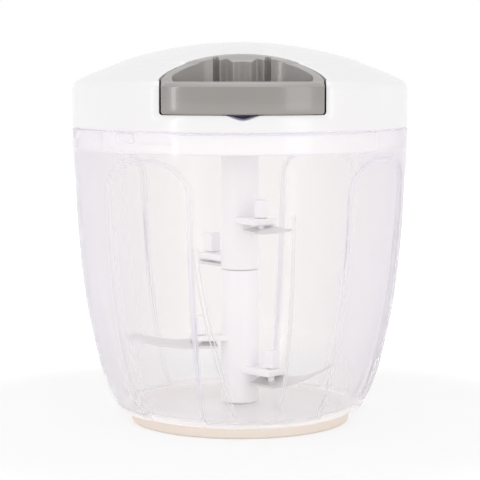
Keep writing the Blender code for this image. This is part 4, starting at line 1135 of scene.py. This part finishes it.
def handleLines():
    # outer and inner outlines with matching sections, from the front's middle round by +X
    half, hole = handle["half"], handle["holeHalf"]
    radius, barOut = handle["backRadius"], lid["radius"]
    barIn, inRadius = barOut - handle["bar"], radius - handle["wall"]
    bossHalf = boss["outline"][0][0]
    centre = (0, -handle["arcCentre"])
    reach = degrees(acos((half - handle["corner"] / 2) / radius))
    frontOut = arc(barOut, -90, -90 + degrees(asin(half / barOut)), 20)
    frontIn = arc(barIn, -90, -90 + degrees(asin(hole / barIn)), 20)
    backOut = arc(radius, reach, 90, 40, centre)
    start, end = [degrees(acos(x / inRadius)) for x in (hole, bossHalf)]
    backIn = arc(inRadius, start, end, 20, centre)
    side = (half, backOut[0][1] - handle["corner"])
    pointsOut = [frontOut[-2], frontOut[-1], side, backOut[0], backOut[2]]
    pointsIn = [frontIn[-3], frontIn[-1], backIn[0], backIn[3]]
    bend = handle["bend"]
    cornerOut, cornerIn = [rounded(points, bend, 6, closed=False)[1:-1] for points in (pointsOut, pointsIn)]
    bossPoints = [backIn[-1], *boss["outline"][1:], (0, boss["middle"])]
    bossLine = rounded(bossPoints, boss["corner"], 3, closed=False)
    wallEnd = degrees(acos(bossHalf * boss["spread"] / radius))
    wallOut, lastOut = arc(radius, reach, wallEnd, 24, centre), arc(radius, wallEnd, 90, 12, centre)
    lines = (frontOut[:-1], cornerOut, wallOut, lastOut), (frontIn[:-2], cornerIn, backIn, bossLine)
    frontSteps, cornerSteps, wallSteps, lastSteps = handle["steps"]
    made = []
    for front, corner, back, last in lines:
        wall = [corner[-1]] + [point for point in back if point[0] < corner[-1][0]]
        outline = spread(front + corner[:1], frontSteps)[:-1] + spread(corner, cornerSteps)[:-1]
        made.append(outline + spread(wall, wallSteps)[:-1] + spread(last, lastSteps))
    return made


def mirrored(line):  # a half outline and its mirror image, as one loop
    return line + [(-x, y) for x, y in line[-2:0:-1]]


def outwardNormals(loop):
    made = []
    for before, after in zip(loop[-1:] + loop[:-1], loop[1:] + loop[:1]):
        along = Vector((after[0] - before[0], after[1] - before[1])).normalized()
        made.append((along.y, -along.x))
    return made


def lidSurface(x, y):
    radius, edge = min(hypot(x, y), lid["radius"] - 0.0002), lid["radius"] - lid["edge"]
    if radius > edge + 0.0018:
        return domeHeight(edge, lid["edge"]) + sqrt(max(lid["edge"] ** 2 - (radius - edge) ** 2, 0))
    return domeHeight(radius) + crownRise(radius)


def makeHandle():
    outer, inner = [mirrored(line) for line in handleLines()]
    fillet, topFillet, inFillet = handle["fillet"], handle["topFillet"], handle["inFillet"]
    bottom = handle["bottom"]
    bends = [(1 - cos(turn), 1 - sin(turn)) for turn in [radians(90 * k / 5) for k in range(6)]]
    loops = []
    lines = outer, inner, outwardNormals(outer), outwardNormals(inner)
    for (ox, oy), (hx, hy), (nx, ny), (mx, my) in zip(*lines):
        isBoss = abs(hx) < boss["outline"][0][0] and hy > handle["barBack"]

        def topAt(x, y):
            radius, run, front, rise, drop = handle["barDrop"]
            drop *= ease((radius - hypot(x, y)) / run) * ease((front - y) / rise)
            if isBoss:
                (low, high, reach), (start, run) = boss["drops"], boss["dropFrom"]
                gone = dist((x, y), (ox, oy))
                drop = (low + (high - low) * ease(abs(hx) / reach)) * ease((gone - start) / run)
            return lidSurface(x, y) - drop

        def onOuter(inset, height):
            return ox - nx * inset, oy - ny * inset, height

        def onInner(inset, height):
            return hx + mx * inset, hy + my * inset, height

        startTop, endTop = onOuter(topFillet, 0)[:2], onInner(inFillet, 0)[:2]
        startZ, endZ = topAt(*startTop), topAt(*endTop)
        # up the outside, over the top and down the inside
        section = [onOuter(fillet * late, bottom + fillet * early) for early, late in bends]
        section += [onOuter(topFillet * early, startZ - topFillet * late) for early, late in bends]
        across = [lerp(startTop, endTop, step / 10) for step in range(1, 10)]
        section += [(x, y, topAt(x, y)) for x, y in across]
        section += [onInner(inFillet * early, endZ - inFillet * late) for early, late in bends[::-1]]
        section += [onInner(inFillet * late, bottom + inFillet * early) for early, late in bends[::-1]]
        loops.append(section)
    holeStart, roomStart = handle["cordStarts"]
    hole = rod(*handle["cordHole"], 32, alongY(holeStart))
    knotRoom = rod(*handle["knotRoom"], 32, alongY(roomStart))
    mesh = shaped(lofted(loops, closed=True), [less(hole), less(knotRoom)])
    newPiece("pullHandle", mesh, handlePlastic, "handle", ["handle"], 38)


makeHandle()
print("handle made")

# Lid base: skirt, floor, collar and lock grooves

base = {
    "skirtRadius": wallRadius(skirtLevel) - bowl["wall"] - fit["gap"],
    "skirtBottom": 0.1072,
    "floorTop": 0.10995,
    "neckBottom": 0.11465,
    "flangeUnder": 0.11715,
    "flangeTop": 0.11935,
    "grooveDepth": 0.0016,
    "mouth": (-14.5, 5.5),
    "lockTurn": 16,
    "screws": (70, 150, -150, -70),
    "screwCircle": 0.052,
    "screwBoss": (0.0045, 0.1089, 0.11245),
    "screwHole": (0.0018, 0.114),
    "screwSink": (0.0032, 0.10955),
    "flange": 0.0628,
    "neckIn": 0.0019,
    "wallIn": 0.0029,
    "collarWall": 0.0026,
    "chamfer": 0.0003,
    "edge": 0.0007,
    "hole": 0.0104,
    "collarTop": 0.1134,
    "seal": (0.0016, 0.11495, 0.11685),
}
screw = {
    "profile": (  # radius and height over the head's face
        (0, 0.0135), (0.0015, 0.012), (0.0015, 0.0012), (0.0027, 0.0012),
        (0.0029, 0.0009), (0.0028, 0.0002), (0.0025, 0), (0, 0),
    ),
    "cross": (0.0017, 0.0004, 0.0008),
}


def grooveBlock(start, end, low, high):
    near = arc(base["skirtRadius"] - base["grooveDepth"], start - 90, end - 90, 24)
    far = arc(base["skirtRadius"] + overlap, end - 90, start - 90, 24)
    return prism(near + far, low, high)


def makeLidBase():
    skirt, bottom, edge, hole = base["skirtRadius"], base["skirtBottom"], base["edge"], base["hole"]
    neck, under, flange, collar = base["neckBottom"], base["flangeUnder"], base["flangeTop"], base["collarTop"]
    wide, neckIn, wallIn = base["flange"], skirt - base["neckIn"], skirt - base["wallIn"]
    cut, floorTop, collarOut = base["chamfer"], base["floorTop"], hole + base["collarWall"]
    turns = (0, 0.4, 0.8, 1.2, 1.5708)
    profile = [(wide, flange), (wide, under), (neckIn, under), (neckIn, neck)]
    profile += [(skirt - cut, neck), (skirt, neck - cut)]
    profile += [(skirt - edge + edge * cos(a), bottom + edge - edge * sin(a)) for a in turns]
    profile += [(hole + cut, bottom), (hole, bottom + cut), (hole, collar), (collarOut, collar)]
    profile += [(collarOut, floorTop), (wallIn, floorTop), (wallIn, flange)]
    jobs = []
    width, height = bowl["lugSize"]
    halfLug = degrees(width / 2 / skirt)
    lugLow = bowl["lugMiddle"] - height / 2 - fit["gap"]
    for index in range(bowl["lugs"]):
        middle = bowl["lugBearing"] + index * 120
        left, right = [middle + angle for angle in base["mouth"]]
        jobs.append(less(grooveBlock(left, right, bottom - overlap, neck + cut)))
        jobs.append(less(grooveBlock(left, middle + halfLug + base["lockTurn"], lugLow, neck + cut)))
    for number, bearing in enumerate(base["screws"], 1):
        place = atBearing(bearing, base["screwCircle"])
        jobs.append(join(rod(*base["screwBoss"], 40, place)))
        for (radius, high), steps in ((base["screwHole"], 24), (base["screwSink"], 40)):
            jobs.append(less(rod(radius, bottom - overlap, high, steps, place)))
        makeScrew(number, place)
    mesh = shaped(turned(profile, 240, closed=True), jobs)
    newPiece("lidSkirt", mesh, skirtPlastic, "lid", ["lid_base"])
    # painted shade: the faces on the skirt's rounded lower edge that face down take a darker violet finish
    mesh.materials.append(skirtEdgeShade)
    for face in mesh.polygons:
        x, y, z = face.center
        if z < bottom + edge and face.normal.z < -0.35 and hypot(x, y) > skirt - edge:
            face.material_index = 1
    thick, low, high = base["seal"]
    corners = [(skirt, high), (skirt, low), (skirt - thick, low), (skirt - thick, high)]
    seal = turned(corners, 240, closed=True)
    newPiece("sealRing", seal, sealRubberGlow, "seal", ["lid_seal"])


def makeScrew(number, place):
    low = base["skirtBottom"] + fit["gap"]
    head = turned([(radius, low + height) for radius, height in screw["profile"]], 40)
    long, short, deep = screw["cross"]
    jobs = []
    for x, y in ((long, short), (short, long)):
        jobs.append(less(roundedBox((-x, -y, low - 0.001), (x, y, low + deep), 0.0001)))
    mesh = shaped(head, jobs)
    mesh.transform(place)
    newPiece(f"lidScrew{number}", mesh, pinSteel, "lid", [f"lid_screw_{number}"])


makeLidBase()
print("lid base made")

# Pieces inside the lid keep their solids

inside = (
    (pinSteel, "cord_eyelet", "reel_axle", "mainspring"),
    (cordFibre, "cord_lead", "cord_winding"),
    (shaftPlastic, "cord_reel", "spring_cover"),
    (handlePlastic, "pawl_1", "pawl_2", "drive_socket"),
)
for surface, *nodes in inside:
    for node in nodes:
        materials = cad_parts[node].data.materials
        materials.clear()
        materials.append(surface)

cord = {"radius": 0.0008, "plait": (8, 0.05, 0.97), "ends": (-0.0349, -0.0412), "rings": 260}
knot = {"size": 0.00075, "loop": 1.4, "height": 0.0007, "radius": 0.0006, "steps": 96}


def makePullCord():
    strands, relief, share = cord["plait"]
    start, end = cord["ends"]
    loops = []
    for ringIndex in range(cord["rings"] + 1):
        y = start + (end - start) * ringIndex / cord["rings"]
        loop = []
        for turn in [2 * pi * i / 24 for i in range(24)]:
            radius = cord["radius"] * (1 + relief * cos(strands * turn)) * share
            loop.append((radius * cos(turn), y, handle["cordHeight"] + radius * sin(turn)))
        loops.append(loop)
    piece = newPiece("cordRun", lofted(loops), cordFibre, None, ["pull_cord"])
    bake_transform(piece)


def knotPoint(turn):  # a trefoil
    size, loop = knot["size"], knot["loop"]
    x = size * (sin(turn) + loop * sin(2 * turn))
    y = size * (cos(turn) - loop * cos(2 * turn))
    return Vector((x, y, knot["height"] * sin(3 * turn)))


def makeKnot():
    steps, radius = knot["steps"], knot["radius"]
    around = [2 * pi * k / 16 for k in range(16)]
    loops = []
    for i in range(steps):
        middle = knotPoint(2 * pi * i / steps)
        along = (knotPoint(2 * pi * (i + 1) / steps) - middle).normalized()
        side = along.cross(Vector((0, 0, 1))).normalized()
        up = side.cross(along)
        loops.append([middle + radius * (side * cos(a) + up * sin(a)) for a in around])
    low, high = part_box("cord_knot")
    mesh = lofted(loops, closed=True)
    mesh.transform(Matrix.Translation((low + high) / 2) @ Matrix.Rotation(radians(90), 4, "X"))
    newPiece("cordKnot", mesh, cordFibre, "handle", ["cord_knot"])


makePullCord()
makeKnot()
print("inner pieces finished")

# Floor, light and camera

studio = {
    "ambient": (1.21, 0.7),
    "overhead": (2.4, 2.4, 2.4, 1),
    "throughBowl": (0.95, 0.935, 0.925, 1),
    "ambientFrom": (0.3, 0.7, 0.13),  # all round, from overhead and from the side
    "overheadSpread": 8,
    "floorFade": (0.11, 0.24),
    "floorTone": 0.88,
    "floorSeen": 0.5,
    "floorThrough": 0.08,
    "floorGlow": 0.52,
    "floorSize": 1.5,
    "floorDrop": 0.0002,
    "lamps": (  # name, place, aim, size, watts
        ("leftBox", (-0.452, -0.468, 0.3), (0, 0, 0.09), (0.038, 0.6), 0.38),
        ("rightBox", (0.4, -0.53, 0.3), (0, 0, 0.09), (0.22, 0.6), 0.6),
        ("topBox", (0, 0.05, 0.75), (0, 0, 0.1), (0.5, 0.12), 0.08),
    ),
}
view = {"lens": 139.1, "sensor": 36, "place": (-0.01269, -0.72697, 0.14366), "tilt": 84.27, "turn": -1}


def makeFloor():
    board = newBoard("whiteSweep")
    cameraRay = board.ray("Camera")
    spot = board.add("ShaderNodeTexCoord", output=3)
    away = board.add("ShaderNodeVectorMath", {"operation": "LENGTH"}, [spot], 1)
    near, far = studio["floorFade"]
    span = {"Value": away, "From Min": near, "From Max": far}
    fade = board.add("ShaderNodeMapRange", {"interpolation_type": "SMOOTHSTEP"}, span)
    seen = board.blend(fade, grey(studio["floorGlow"]), grey(1))
    unseen = board.blend(fade, grey(studio["floorThrough"]), studio["throughBowl"])
    tone = board.blend(fade, grey(studio["floorTone"]), grey(0))
    shader = board.principled({
        "Base Color": board.blend(cameraRay, tone, grey(studio["floorSeen"])),
        "Roughness": 0.9,
        "Specular IOR Level": 0.0,
        "Emission Color": board.blend(cameraRay, unseen, seen),
        "Emission Strength": 1.0,
    })
    size = studio["floorSize"]
    mesh = bpy.data.meshes.new("floor")
    corners = [(-size, -size, 0), (size, -size, 0), (size, size, 0), (-size, size, 0)]
    mesh.from_pydata(corners, [], [range(4)])
    mesh.materials.append(board.surface(shader))
    floor = addObject("floor", mesh)
    floor.location.z = -studio["floorDrop"]


def makeWorld():
    world = bpy.data.worlds.new("studio")
    bpy.context.scene.world = world
    board = Board(world, "ShaderNodeOutputWorld")
    spot = board.add("ShaderNodeTexCoord", output=0)
    aside, towardBack, height = [board.add("ShaderNodeSeparateXYZ", None, [spot], axis) for axis in range(3)]
    # the room behind the camera is darker than the sweep
    room = [(0.0, (0.3, 0.3, 0.31)), (0.4, (0.6, 0.6, 0.61)), (0.7, (0.97, 0.97, 0.98))]
    overhead = board.greater(height, 0.0)
    walls = board.ramp(0.5 + 0.5 * towardBack, room)
    glossy = board.blend(overhead ** studio["overheadSpread"], walls, studio["overhead"])
    # the left and the horizon give more light than the right and the ceiling
    stops = [(place, (level,) * 3) for place, level in zip((0.0, 1.0), studio["ambient"])]
    least, above, side = studio["ambientFrom"]
    ambient = board.ramp(least + above * overhead + side * aside, stops)
    soft = board.blend(board.ray("Glossy"), ambient, glossy)
    soft = board.blend(board.ray("Transmission"), soft, studio["throughBowl"])
    colour = board.blend(board.ray("Camera"), soft, grey(1))
    board.surface(board.add("ShaderNodeBackground", None, [colour, 1.0]))


def addLamp(name, place, aim, size, watts):
    light = bpy.data.lights.new(name, "AREA")
    light.shape = "RECTANGLE"
    light.size, light.size_y = size
    light.energy = watts
    lamp = addObject(name, light)
    lamp.location = place
    lamp.rotation_euler = (Vector(aim) - Vector(place)).to_track_quat("-Z", "Y").to_euler()


def makeCamera():
    data = bpy.data.cameras.new("camera")
    data.lens, data.sensor_width, data.clip_start = view["lens"], view["sensor"], 0.01
    camera = addObject("camera", data)
    camera.location = view["place"]
    camera.rotation_euler = (radians(view["tilt"]), 0, radians(view["turn"]))
    bpy.context.scene.camera = camera


makeFloor()
makeWorld()
for lamp in studio["lamps"]:
    addLamp(*lamp)
makeCamera()
bpy.context.scene.view_settings.view_transform = "Standard"
print("studio made")
